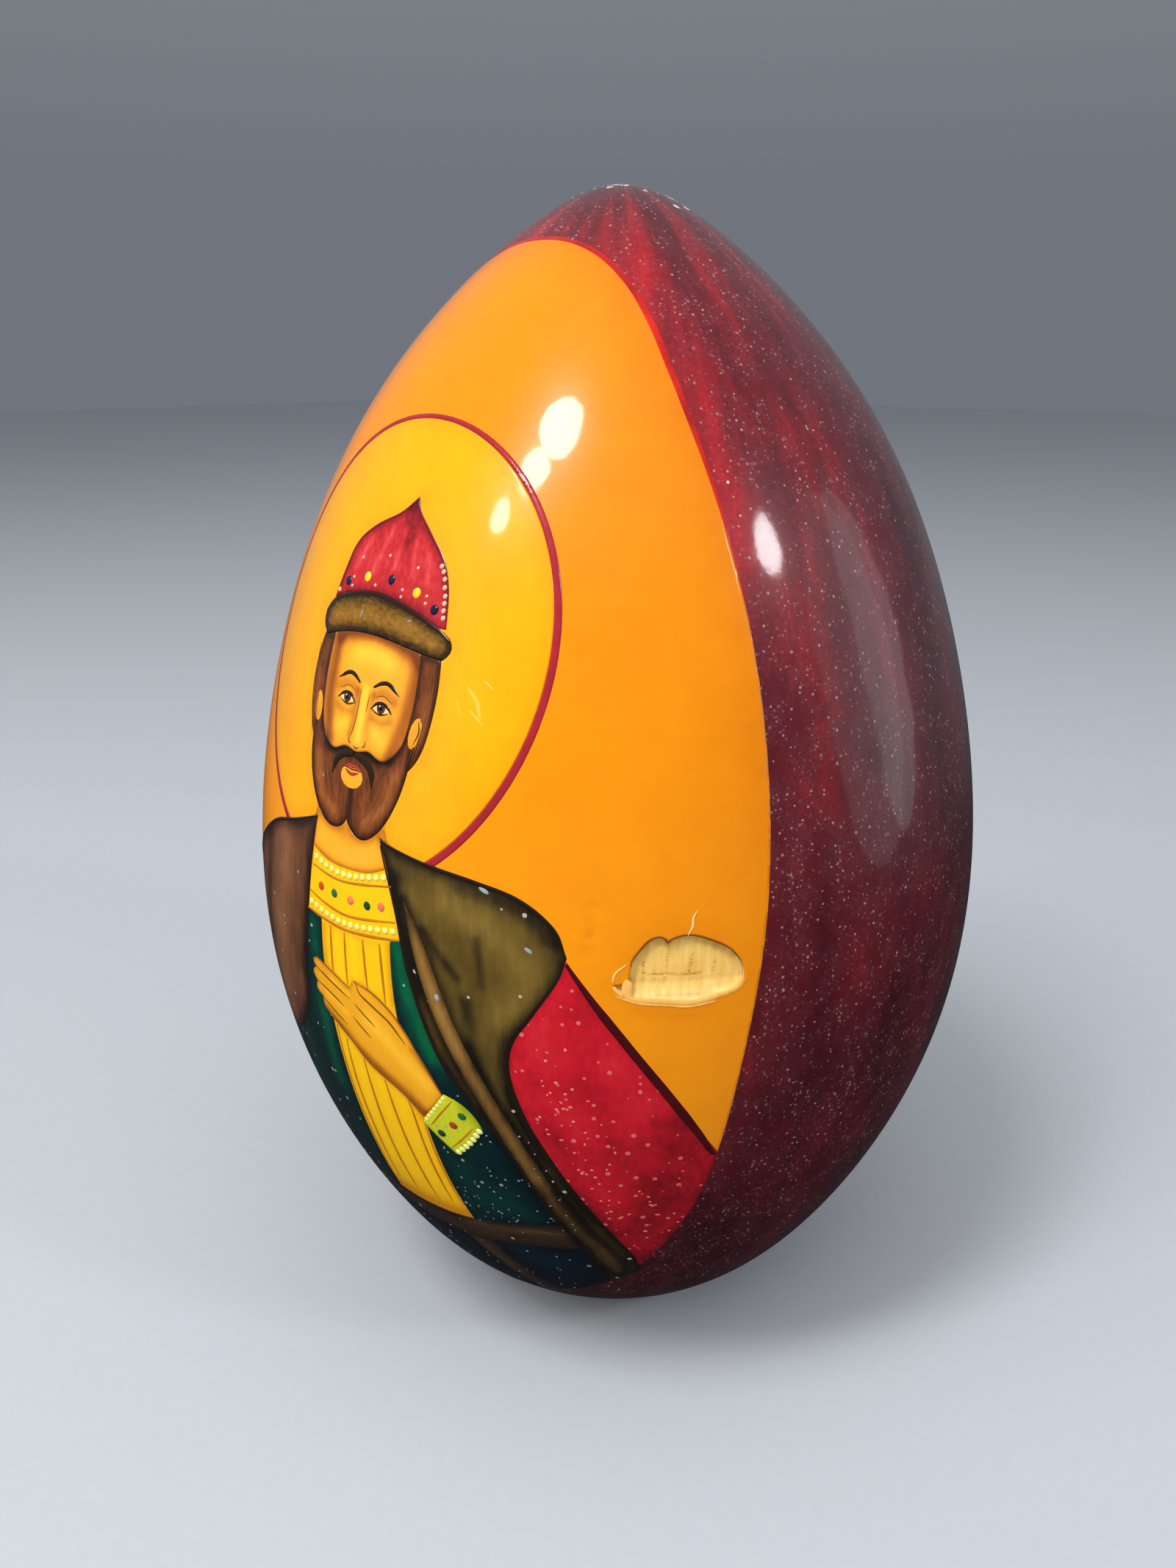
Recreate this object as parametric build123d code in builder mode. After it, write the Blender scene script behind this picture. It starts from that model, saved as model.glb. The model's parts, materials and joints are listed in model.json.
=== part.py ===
from build123d import *
import os
from math import atan2, cos, pi, radians, sin

# A turned and painted wooden Easter egg. Units are millimetres, +Z is up, the egg stands on its
# foot at the origin, and its painted picture faces -Y.

# ---------------------------------------------------------------- driving dimensions
EGG_HEIGHT = 150.0        # foot to tip
FOOT_CUT = 1.5            # what the flat foot takes off the blunt end
FULLNESS = (0.3191, 0.0481, -0.0242, -0.0641, -0.0096, 0.1122)   # half outline, as a share of the height
PROFILE_SPANS = 8         # smooth curves that the half outline is made of, end to end
SPAN_STEPS = 4            # steps between points along each of them

GROUND = 0.5              # white ground (glue and chalk) between wood and paint
PAINT = 0.2               # one coat of lacquer or paint, drawn thicker than it is in life
COAT_HEM = 0.5            # the coats stop this far above the foot, so the bare wood stands

HALO_HEIGHT = 100.95      # the halo's centre, on the picture's centre line
HALO_RADII = (21.5, 23.85)
RING_WIDTH = 0.66         # the halo's outline, on average
RING_SHIFT = (0.05, -0.2)                  # it is drawn off centre, so it is wider low down
PANEL_TOP = 143.35
PANEL_FOOT = 11.0
PANEL_HALF_WIDTH = 41.1

CHIP_BEARING = 48.2       # degrees round from the picture's centre line
CHIP_HEIGHT = 72.0
TIP_WEAR = (0.6, -0.5, 1.3)                # x, y and radius of the rubbed spot on the tip

REACH = 60.0              # longer than the egg's radius: how far a flat outline is pushed
PICTURE = Plane.XZ.offset(5)               # the flat drawing, inside the egg, from which it is pushed


# ---------------------------------------------------------------- the egg's body
def profile_point(turn, proud):
    """A point of the half outline: turn runs from 0 at the blunt end to pi at the tip."""
    lean = cos(turn)
    share = sum(amount * lean**power for power, amount in enumerate(FULLNESS))
    radius = EGG_HEIGHT * sin(turn) * share
    height = (EGG_HEIGHT + FOOT_CUT) * (1 - lean) / 2 - FOOT_CUT
    if turn in (0, pi):
        return 0, height - proud * lean
    if proud == 0:
        return radius, height
    before = profile_point(turn - 0.001, 0)
    after = profile_point(turn + 0.001, 0)
    slope = atan2(after[1] - before[1], after[0] - before[0])
    return radius + proud * sin(slope), height - proud * cos(slope)


def half_outline(proud):
    """Points of the half outline grown outwards by proud, from the blunt end to the tip."""
    steps = PROFILE_SPANS * SPAN_STEPS
    return [profile_point(pi * step / steps, proud) for step in range(steps + 1)]


def draw_profile(side):
    """Draws a half outline in the open line builder."""
    for first in range(0, len(side) - 1, SPAN_STEPS):
        Spline(*side[first : first + SPAN_STEPS + 1])


def skin(inner, outer, axis=Axis.Z, turn=360):
    """The layer between two growths of the egg, ending level at the hem of the coats."""
    outside = half_outline(outer)
    inside = half_outline(inner)
    with BuildPart() as layer:
        with BuildSketch(Plane.XZ):
            with BuildLine():
                draw_profile(outside)
                Line(outside[-1], inside[-1])
                draw_profile(inside)
                Line(inside[0], outside[0])
            make_face()
            with Locations((0, COAT_HEM)):
                Rectangle(REACH, 2 * EGG_HEIGHT, align=Align.MIN, mode=Mode.INTERSECT)
        revolve(axis=axis, revolution_arc=turn)
    return layer.part


DOWNWARDS = Axis((0, 0, 0), (0, 0, -1))    # half a turn about it sweeps the front half
panel_layer = skin(-PAINT, 0, DOWNWARDS, 180)
paint_layer = skin(0, PAINT, DOWNWARDS, 180)


# ---------------------------------------------------------------- outlines of the painted areas
# All are drawn flat, as seen from straight in front: x to the right and height upwards.
def area(*sides):
    """A face bounded by sides laid end to end, each listing its points after the last corner.
    A side of one point is straight, and the last side ends at the first corner."""
    corner = sides[-1][-1]
    with BuildSketch() as face:
        with BuildLine():
            for side in sides:
                if len(side) == 1:
                    Line(corner, side[0])
                else:
                    Spline(corner, *side)
                corner = side[-1]
        make_face()
    return face.sketch


panel_half = [(0, PANEL_TOP), (7.9, 141.7), (13.7, 138), (21.2, 130), (28.1, 120), (33.4, 109.5), (37.4, 98),
              (40, 86), (PANEL_HALF_WIDTH, 73.5), (40.4, 61), (38.4, 49.5), (34.4, 37.5), (28, 26.5), (20, 18),
              (10.5, 12.6), (0, PANEL_FOOT)]
with BuildSketch() as panel_face:
    with BuildLine():
        for side in (1, -1):
            Spline(*((side * x, z) for x, z in panel_half))
    make_face()
panel_area = panel_face.sketch

with BuildSketch() as halo_face:
    with Locations((0, HALO_HEIGHT)):
        Ellipse(*HALO_RADII)
halo_area = halo_face.sketch

hat_crown_area = area(
    [(3.7, 115.6), (5.7, 113.8), (8.3, 111.3), (9.7, 108.6), (10.6, 104.8)],
    [(-7, 105.8)],
    [(-6.2, 109), (-5.1, 111.9), (-2.7, 113.8), (0.8, 115.4), (2.8, 117.1)],
)
hat_brim_area = area(
    [(-7, 106), (-3.5, 107.1), (0.5, 107.4), (5, 106.6), (9.4, 105), (11.2, 104)],
    [(11.7, 103), (10.9, 101.8)],
    [(8.1, 102.2), (4.1, 102.9), (-0.7, 103.2), (-4.7, 102.7), (-7, 102.1)],
    [(-8.2, 103), (-8.4, 104.5)],
)
face_area = area(
    [(-5.7, 99), (-5.3, 94), (-3.4, 89.5), (1.4, 86), (6.2, 89.5), (8.1, 94), (8.5, 99), (8.1, 104)],
    [(-5.3, 104)],
)
hair_area = area(
    [(-8.3, 99), (-8.1, 95), (-7.2, 91.7), (-5.8, 90)],
    [(8.6, 90)],
    [(10, 91.7), (10.9, 95), (11.1, 99), (10.6, 103)],
    [(-7.3, 103)],
)
beard_area = area(
    [(-6.9, 90), (-5.8, 86), (-3.9, 83.4), (-1.7, 82.3), (0.1, 82.7), (0.9, 83.6)],
    [(1.9, 82.5), (3.4, 81.9), (5.4, 82.8), (7.5, 85.6), (8.9, 89.8), (9.2, 94.5)],
    [(8.2, 94.5)],
    [(7.2, 92), (5.2, 90.8), (3.2, 91.4), (1.4, 91.1), (-0.4, 91.4), (-2.4, 90.8), (-4.4, 92),
     (-5.4, 94.5)],
    [(-6.4, 94.5)],
)
neck_area = area([(-6.5, 76.5)], [(9.5, 76.5)], [(6.6, 84.2)], [(-4.4, 84.2)])
collar_area = area(
    [(-2.3, 78.6), (1.5, 78.3), (4.6, 78.7), (7.4, 79.7)],
    [(8.6, 76.3), (9.5, 71.9)],
    [(5.5, 71.1), (1.8, 70.8), (-2, 70.8), (-6.2, 71.3)],
    [(-5.5, 75), (-4.8, 79.3)],
)
left_cloak_area = area(
    [(-10, 80.7), (-15, 79), (-20, 76.1), (-25, 72.2), (-29.5, 66.5), (-33.6, 58.5), (-39.5, 45)],
    [(-34, 44), (-28, 44.2), (-22, 46.3), (-16.2, 49.4), (-11.7, 53.1), (-8.4, 57.9), (-7.2, 64.5),
     (-6.1, 71.3), (-5.4, 76.7), (-4.3, 82.8)],
)
right_cloak_area = area(
    [(12.3, 81.2), (17.7, 80.3), (22.2, 79), (25.6, 76.3), (26.9, 73.2)],
    [(26.2, 70.4), (24, 66.2), (21.9, 62.4), (21.4, 58.4), (22.4, 52.6), (24.2, 46), (26.2, 37.4),
     (27.3, 29.5), (26.9, 24)],
    [(22.8, 20.2)],
    [(23.4, 27), (22.4, 35), (20.1, 46.4), (16.4, 54.2), (13.8, 58.7), (10.7, 68), (8.9, 75.1),
     (6.1, 82.8)],
)
trim_area = area(
    [(10.9, 72.4), (13.1, 65.3), (16.2, 57.6), (19.1, 50.1), (21.3, 41.9), (22.8, 34.2), (23.8, 26),
     (23.5, 21.6)],
    [(25.3, 23.1)],
    [(26, 26.5), (25.2, 33.5), (23.4, 41.9), (21.1, 50.4), (18.2, 58), (15.1, 65.6), (12.2, 72.9),
     (9.9, 76.6)],
)
sleeve_area = area(
    [(29.5, 68.4), (32.4, 63.3), (35, 57.6), (36.9, 51.8), (38.4, 45)],
    [(35, 35), (27, 22)],
    [(20.5, 57)],
    [(20.5, 64)],
    [(26.9, 72.9)],
)
robe_area = area(
    [(8.2, 72.5)],
    [(8.5, 64.5), (10, 50.8), (10.6, 40), (11.3, 31.6)],
    [(5, 30.6), (-1.2, 30.6)],
    [(-1.6, 42), (-2.5, 57), (-3.1, 65), (-3.1, 72)],
)
hand_area = area(
    [(10.6, 59.1), (8.3, 62.4), (5.4, 64.3), (2.3, 64.9)],
    [(1.4, 63.6)],
    [(-1.5, 64.6), (-4.6, 65.4)],
    [(-5.6, 64.7), (-5, 64)],
    [(-5.8, 63.1), (-5, 62.1)],
    [(-5.4, 61.2), (-4.2, 60.4)],
    [(-4.2, 59.4), (-2.5, 58.1)],
    [(0.3, 56.3), (3.2, 54), (7.7, 51.6), (10.1, 49)],
    [(13.5, 53.3)],
)
cuff_area = area([(16.2, 52.3), (17.5, 49.8)], [(13.3, 44.4)], [(9.8, 48.2)], [(13.6, 53.6)])
belt_area = area(
    [(-20, 33), (-10, 31.3), (0, 30.6), (11.3, 31.6), (18, 33.4), (23.2, 34.3)],
    [(24, 29.2)],
    [(16.3, 28.2), (9, 26.6), (0, 26.2), (-12, 27.6), (-31.5, 31)],
    [(-34, 35.5)],
)
front_band_area = area(
    [(8.9, 23), (10.3, 17.5), (11.2, 12)],
    [(15.2, 13)],
    [(14.2, 18), (12.9, 23.5), (11.6, 28)],
    [(7, 28)],
)
waist = [(16.3, 30.6), (9, 29), (0, 28.4), (-10, 29.4), (-20, 31), (-34, 33.2)]
tunic_area = area([(10, 72)], [(25, 46)], [(25, 31.8)], waist, [(-40, 47)], [(-8, 60)], [(-7, 72)])
skirt_area = area([(25, 31.8)], waist, [(-34, 5)], [(30, 5)], [(30, 24)])
chip_area = area(
    [(-5.2, -0.8), (-5, 0.7), (-4.1, 2.2), (-2.8, 3.4), (-1.9, 3.5), (-1.3, 2.9)],
    [(-0.5, 3.4), (1.2, 3.6), (3.3, 2.9), (5, 2), (6, 1), (6.8, -0.6), (6.8, -1.8)],
    [(6.1, -2.7), (3.9, -3.3), (2.1, -3.8), (-0.9, -3.7), (-3.8, -3.4), (-5.7, -2.9), (-6.9, -1.7)],
)

# ---------------------------------------------------------------- wood and coats
with BuildPart() as wood_core:
    wood_outline = half_outline(-GROUND - PAINT)
    with BuildSketch(Plane.XZ):
        with BuildLine():
            draw_profile(wood_outline)
            Line(wood_outline[-1], wood_outline[0])
        make_face()
        Rectangle(REACH, 2 * EGG_HEIGHT, align=Align.MIN, mode=Mode.INTERSECT)
    revolve(axis=Axis.Z)

chip_out = (sin(radians(CHIP_BEARING)), -cos(radians(CHIP_BEARING)), 0)
chip_across = (cos(radians(CHIP_BEARING)), sin(radians(CHIP_BEARING)), 0)
chip_plane = Plane(origin=(0, 0, CHIP_HEIGHT), x_dir=chip_across, z_dir=chip_out)
with BuildPart() as chip_space:
    with BuildSketch(chip_plane):
        add(chip_area)
    extrude(amount=REACH)
chip = chip_space.part

with BuildPart() as ground_coat:
    add(skin(-GROUND - PAINT, -PAINT))
    add(chip, mode=Mode.SUBTRACT)

with BuildPart() as lacquer_coat:
    add(skin(-PAINT, 0))
    with BuildSketch(PICTURE):
        add(panel_area)
    extrude(amount=REACH, mode=Mode.SUBTRACT)
    with BuildSketch(Plane.XY.offset(EGG_HEIGHT - REACH / 10)):
        with Locations(TIP_WEAR[:2]):
            Circle(TIP_WEAR[2])
    extrude(amount=REACH, mode=Mode.SUBTRACT)

with BuildPart() as orange_panel:
    with BuildSketch(PICTURE):
        add(panel_area)
    extrude(amount=REACH)
    add(panel_layer, mode=Mode.INTERSECT)
    add(chip, mode=Mode.SUBTRACT)

# ---------------------------------------------------------------- halo and head
with BuildPart() as halo_ring:
    with BuildSketch(PICTURE):
        with Locations((RING_SHIFT[0], HALO_HEIGHT + RING_SHIFT[1])):
            Ellipse(*(radius + RING_WIDTH for radius in HALO_RADII))
        for covered in (halo_area, left_cloak_area, right_cloak_area, neck_area, collar_area):
            add(covered, mode=Mode.SUBTRACT)
    extrude(amount=REACH)
    add(paint_layer, mode=Mode.INTERSECT)

with BuildPart() as halo_disc:
    with BuildSketch(PICTURE):
        add(halo_area)
        for covered in (
            hat_crown_area, hat_brim_area, hair_area, face_area, beard_area, neck_area, collar_area,
            left_cloak_area, right_cloak_area,
        ):
            add(covered, mode=Mode.SUBTRACT)
    extrude(amount=REACH)
    add(paint_layer, mode=Mode.INTERSECT)

with BuildPart() as hat_crown:
    with BuildSketch(PICTURE):
        add(hat_crown_area)
        add(hat_brim_area, mode=Mode.SUBTRACT)
    extrude(amount=REACH)
    add(paint_layer, mode=Mode.INTERSECT)

with BuildPart() as hat_brim:
    with BuildSketch(PICTURE):
        add(hat_brim_area)
    extrude(amount=REACH)
    add(paint_layer, mode=Mode.INTERSECT)

with BuildPart() as hair:
    with BuildSketch(PICTURE):
        add(hair_area)
        for covered in (face_area, beard_area, hat_brim_area):
            add(covered, mode=Mode.SUBTRACT)
    extrude(amount=REACH)
    add(paint_layer, mode=Mode.INTERSECT)

with BuildPart() as face:
    with BuildSketch(PICTURE):
        add(face_area)
        for covered in (beard_area, hat_brim_area):
            add(covered, mode=Mode.SUBTRACT)
    extrude(amount=REACH)
    add(paint_layer, mode=Mode.INTERSECT)

with BuildPart() as beard:
    with BuildSketch(PICTURE):
        add(beard_area)
    extrude(amount=REACH)
    add(paint_layer, mode=Mode.INTERSECT)

with BuildPart() as neck:
    with BuildSketch(PICTURE):
        add(neck_area)
        for covered in (beard_area, collar_area, left_cloak_area, right_cloak_area):
            add(covered, mode=Mode.SUBTRACT)
    extrude(amount=REACH)
    add(paint_layer, mode=Mode.INTERSECT)

# ---------------------------------------------------------------- clothes and hand
with BuildPart() as collar:
    with BuildSketch(PICTURE):
        add(collar_area)
        for covered in (left_cloak_area, right_cloak_area):
            add(covered, mode=Mode.SUBTRACT)
    extrude(amount=REACH)
    add(paint_layer, mode=Mode.INTERSECT)

with BuildPart() as left_cloak:
    with BuildSketch(PICTURE):
        add(left_cloak_area)
        add(panel_area, mode=Mode.INTERSECT)
    extrude(amount=REACH)
    add(paint_layer, mode=Mode.INTERSECT)

with BuildPart() as right_cloak:
    with BuildSketch(PICTURE):
        add(right_cloak_area)
        add(trim_area, mode=Mode.SUBTRACT)
    extrude(amount=REACH)
    add(paint_layer, mode=Mode.INTERSECT)

with BuildPart() as cloak_trim:
    with BuildSketch(PICTURE):
        add(trim_area)
    extrude(amount=REACH)
    add(paint_layer, mode=Mode.INTERSECT)

with BuildPart() as red_sleeve:
    with BuildSketch(PICTURE):
        add(sleeve_area)
        add(panel_area, mode=Mode.INTERSECT)
        add(right_cloak_area, mode=Mode.SUBTRACT)
    extrude(amount=REACH)
    add(paint_layer, mode=Mode.INTERSECT)

with BuildPart() as robe_front:
    with BuildSketch(PICTURE):
        add(robe_area)
        for covered in (collar_area, hand_area, cuff_area, belt_area):
            add(covered, mode=Mode.SUBTRACT)
    extrude(amount=REACH)
    add(paint_layer, mode=Mode.INTERSECT)

with BuildPart() as hand:
    with BuildSketch(PICTURE):
        add(hand_area)
        add(cuff_area, mode=Mode.SUBTRACT)
    extrude(amount=REACH)
    add(paint_layer, mode=Mode.INTERSECT)

with BuildPart() as cuff:
    with BuildSketch(PICTURE):
        add(cuff_area)
        add(right_cloak_area, mode=Mode.SUBTRACT)
    extrude(amount=REACH)
    add(paint_layer, mode=Mode.INTERSECT)

with BuildPart() as belt:
    with BuildSketch(PICTURE):
        add(belt_area)
        add(panel_area, mode=Mode.INTERSECT)
        add(right_cloak_area, mode=Mode.SUBTRACT)
    extrude(amount=REACH)
    add(paint_layer, mode=Mode.INTERSECT)

with BuildPart() as front_band:
    with BuildSketch(PICTURE):
        add(front_band_area)
        add(panel_area, mode=Mode.INTERSECT)
        add(belt_area, mode=Mode.SUBTRACT)
    extrude(amount=REACH)
    add(paint_layer, mode=Mode.INTERSECT)

with BuildPart() as tunic:
    with BuildSketch(PICTURE):
        add(tunic_area)
        add(panel_area, mode=Mode.INTERSECT)
        for covered in (
            left_cloak_area, right_cloak_area, sleeve_area, collar_area, robe_area, hand_area,
            cuff_area, belt_area,
        ):
            add(covered, mode=Mode.SUBTRACT)
    extrude(amount=REACH)
    add(paint_layer, mode=Mode.INTERSECT)

with BuildPart() as skirt:
    with BuildSketch(PICTURE):
        add(skirt_area)
        add(panel_area, mode=Mode.INTERSECT)
        for covered in (belt_area, front_band_area, right_cloak_area, sleeve_area):
            add(covered, mode=Mode.SUBTRACT)
    extrude(amount=REACH)
    add(paint_layer, mode=Mode.INTERSECT)

# ---------------------------------------------------------------- export
os.makedirs("parts", exist_ok=True)
pieces = {
    "wood_core": wood_core, "ground_coat": ground_coat, "lacquer_coat": lacquer_coat,
    "orange_panel": orange_panel, "halo_ring": halo_ring, "halo_disc": halo_disc,
    "hat_crown": hat_crown, "hat_brim": hat_brim, "hair": hair, "face": face, "beard": beard,
    "neck": neck, "collar": collar, "left_cloak": left_cloak, "right_cloak": right_cloak,
    "cloak_trim": cloak_trim, "red_sleeve": red_sleeve, "robe_front": robe_front, "hand": hand,
    "cuff": cuff, "belt": belt, "front_band": front_band, "tunic": tunic, "skirt": skirt,
}
for name, piece in pieces.items():
    piece.part.label = name
    export_step(piece.part, f"parts/{name}.step")
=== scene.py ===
import json
from math import cos, pi, radians, sin, sqrt
from random import Random

import bmesh
import bpy
import numpy as np
from mathutils import Matrix, Vector
from mathutils.geometry import delaunay_2d_cdt

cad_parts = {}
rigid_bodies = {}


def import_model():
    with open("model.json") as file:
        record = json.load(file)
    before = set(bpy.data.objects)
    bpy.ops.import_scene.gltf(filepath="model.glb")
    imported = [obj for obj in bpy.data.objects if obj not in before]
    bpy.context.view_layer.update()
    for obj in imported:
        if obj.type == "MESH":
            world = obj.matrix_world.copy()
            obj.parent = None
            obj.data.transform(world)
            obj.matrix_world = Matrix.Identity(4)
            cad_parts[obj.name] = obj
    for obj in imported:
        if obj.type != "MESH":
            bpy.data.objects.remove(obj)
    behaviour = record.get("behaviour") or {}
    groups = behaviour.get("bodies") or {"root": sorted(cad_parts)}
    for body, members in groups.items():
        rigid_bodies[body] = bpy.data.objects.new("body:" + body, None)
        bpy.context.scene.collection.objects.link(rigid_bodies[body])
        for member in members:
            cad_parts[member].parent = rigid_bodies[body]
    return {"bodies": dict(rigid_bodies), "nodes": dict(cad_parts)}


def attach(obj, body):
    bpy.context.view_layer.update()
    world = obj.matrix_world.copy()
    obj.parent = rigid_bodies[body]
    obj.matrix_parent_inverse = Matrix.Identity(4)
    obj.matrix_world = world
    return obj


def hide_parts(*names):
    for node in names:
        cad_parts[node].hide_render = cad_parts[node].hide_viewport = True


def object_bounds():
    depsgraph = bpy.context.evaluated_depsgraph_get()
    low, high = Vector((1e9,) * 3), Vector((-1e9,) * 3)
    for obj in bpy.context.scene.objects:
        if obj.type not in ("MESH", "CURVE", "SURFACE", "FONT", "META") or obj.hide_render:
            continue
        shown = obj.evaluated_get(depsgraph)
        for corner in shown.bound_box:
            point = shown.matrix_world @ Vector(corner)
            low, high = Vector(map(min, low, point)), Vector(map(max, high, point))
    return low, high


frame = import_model()
cad_low, cad_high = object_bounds()

# The picture is drawn flat: x to the right of its centre line and z up from the foot, in
# millimetres of an egg 150 tall. UNIT turns them into metres on the egg that the frame gives.
EGG_HEIGHT = 150.0
FOOT_CUT = 1.5
FULLNESS = (0.3191, 0.0481, -0.0242, -0.0641, -0.0096, 0.1122)
COAT_HEM = 0.5
UNIT = (cad_high.z - cad_low.z) / EGG_HEIGHT
BODY = next(iter(frame["bodies"]))

FILM = 0.05               # how far a painted area stands above the lacquer
LINE = 0.075              # and a brushed line on it
DETAIL = 0.10             # and what is painted over a line


# ---------------------------------------------------------------- the egg's surface
def radius_at(z):
    lean = np.clip(1 - 2 * (np.asarray(z, float) + FOOT_CUT) / (EGG_HEIGHT + FOOT_CUT), -1, 1)
    share = sum(amount * lean**power for power, amount in enumerate(FULLNESS))
    return EGG_HEIGHT * np.sqrt(1 - lean**2) * share


def normal_at(z):
    """The outward direction of the outline at a height, as its radial and upward parts."""
    lean = np.clip(1 - 2 * (np.asarray(z, float) + FOOT_CUT) / (EGG_HEIGHT + FOOT_CUT), -1, 1)
    share = sum(amount * lean**power for power, amount in enumerate(FULLNESS))
    change = sum(power * amount * lean ** (power - 1) for power, amount in enumerate(FULLNESS) if power)
    radial_run = EGG_HEIGHT * (lean * share - (1 - lean**2) * change)
    upward_run = (EGG_HEIGHT + FOOT_CUT) / 2 * np.sqrt(1 - lean**2)
    length = np.hypot(radial_run, upward_run)
    return upward_run / length, -radial_run / length


def lift(flat, proud):
    """Points of the drawing laid on the egg's front, standing proud of the lacquer."""
    flat = np.asarray(flat, float).reshape(-1, 2)
    z = flat[:, 1]
    radius = radius_at(z)
    x = np.clip(flat[:, 0], -0.9999 * radius, 0.9999 * radius)
    y = -np.sqrt(radius**2 - x**2)
    radial, upward = normal_at(z)
    out = 1 + proud * radial / radius
    return np.column_stack([x * out, y * out, z + proud * upward])


# ---------------------------------------------------------------- flat geometry
def smooth_path(points, step=0.35):
    """A smooth path through the points (Catmull-Rom), sampled about every step."""
    points = np.asarray(points, float)
    if len(points) < 3:
        count = max(2, int(np.hypot(*(points[-1] - points[0])) / step) + 1)
        return np.column_stack([np.linspace(points[0][i], points[-1][i], count) for i in (0, 1)])
    padded = np.vstack([2 * points[0] - points[1], points, 2 * points[-1] - points[-2]])
    path = []
    for before, start, end, after in zip(padded, padded[1:], padded[2:], padded[3:]):
        count = max(2, int(np.hypot(*(end - start)) / step) + 1)
        for t in np.linspace(0, 1, count, endpoint=False):
            path.append(
                0.5 * (2 * start + (end - before) * t + (2 * before - 5 * start + 4 * end - after) * t**2
                       + (3 * start - before - 3 * end + after) * t**3)
            )
    path.append(points[-1])
    return np.array(path)


def distance_to(points, path, closed=False):
    """The distance of each point from a path."""
    start = path if closed else path[:-1]
    end = np.roll(path, -1, axis=0) if closed else path[1:]
    best = np.full(len(points), 1e9)
    for a, b in zip(start, end):
        along = b - a
        reach = along @ along
        if reach < 1e-12:
            continue
        t = np.clip((points - a) @ along / reach, 0, 1)
        best = np.minimum(best, np.hypot(*(points - a - t[:, None] * along).T))
    return best


def inside(points, loops):
    """Which points lie inside the loops, counting crossings."""
    hits = np.zeros(len(points), int)
    for loop in loops:
        for (x0, z0), (x1, z1) in zip(loop, np.roll(loop, -1, axis=0)):
            if z0 == z1:
                continue
            crosses = (points[:, 1] > z0) != (points[:, 1] > z1)
            hits += crosses & (points[:, 0] < x0 + (points[:, 1] - z0) * (x1 - x0) / (z1 - z0))
    return hits % 2 == 1


def even_loop(loop, step):
    """The loop with long edges divided and near points dropped, keeping its sharp corners."""
    kept = []
    count = len(loop)
    for i in range(count):
        back, here, ahead = loop[i - 1], loop[i], loop[(i + 1) % count]
        turn = np.cross(here - back, ahead - here)
        sharp = abs(turn) > 0.35 * np.hypot(*(here - back)) * np.hypot(*(ahead - here))
        if sharp or not kept or np.hypot(*(here - kept[-1])) > 0.5 * step:
            kept.append(here)
    divided = []
    for here, ahead in zip(kept, kept[1:] + kept[:1]):
        parts = max(1, round(np.hypot(*(ahead - here)) / step))
        divided += [here + (ahead - here) * part / parts for part in range(parts)]
    return np.array(divided)


def outline_of(node):
    """The outer face's edge on a CAD coat, as closed loops in the drawing, outermost first."""
    work = bmesh.new()
    work.from_mesh(frame["nodes"][node].data)
    bmesh.ops.remove_doubles(work, verts=work.verts, dist=0.02 * UNIT)
    bmesh.ops.triangulate(work, faces=work.faces)
    points = np.array([v.co for v in work.verts]) / UNIT
    faces = np.array([[v.index for v in face.verts] for face in work.faces])
    work.free()
    growth = (np.hypot(points[:, 0], points[:, 1]) - radius_at(points[:, 2])) * normal_at(points[:, 2])[0]
    outer = growth > growth.max() - 0.08
    faces = faces[outer[faces].all(axis=1)]
    edges = {(a, b) for face in faces for a, b in zip(face, np.roll(face, -1))}
    follows = {a: b for a, b in edges if (b, a) not in edges}
    loops = []
    while follows:
        start, here = follows.popitem()
        loop = [start]
        while here != start and here in follows:
            loop.append(here)
            here = follows.pop(here)
        if len(loop) > 8:
            loops.append(points[loop][:, [0, 2]])
    return sorted(loops, key=lambda loop: -np.ptp(loop[:, 0]) * np.ptp(loop[:, 1]))


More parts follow.
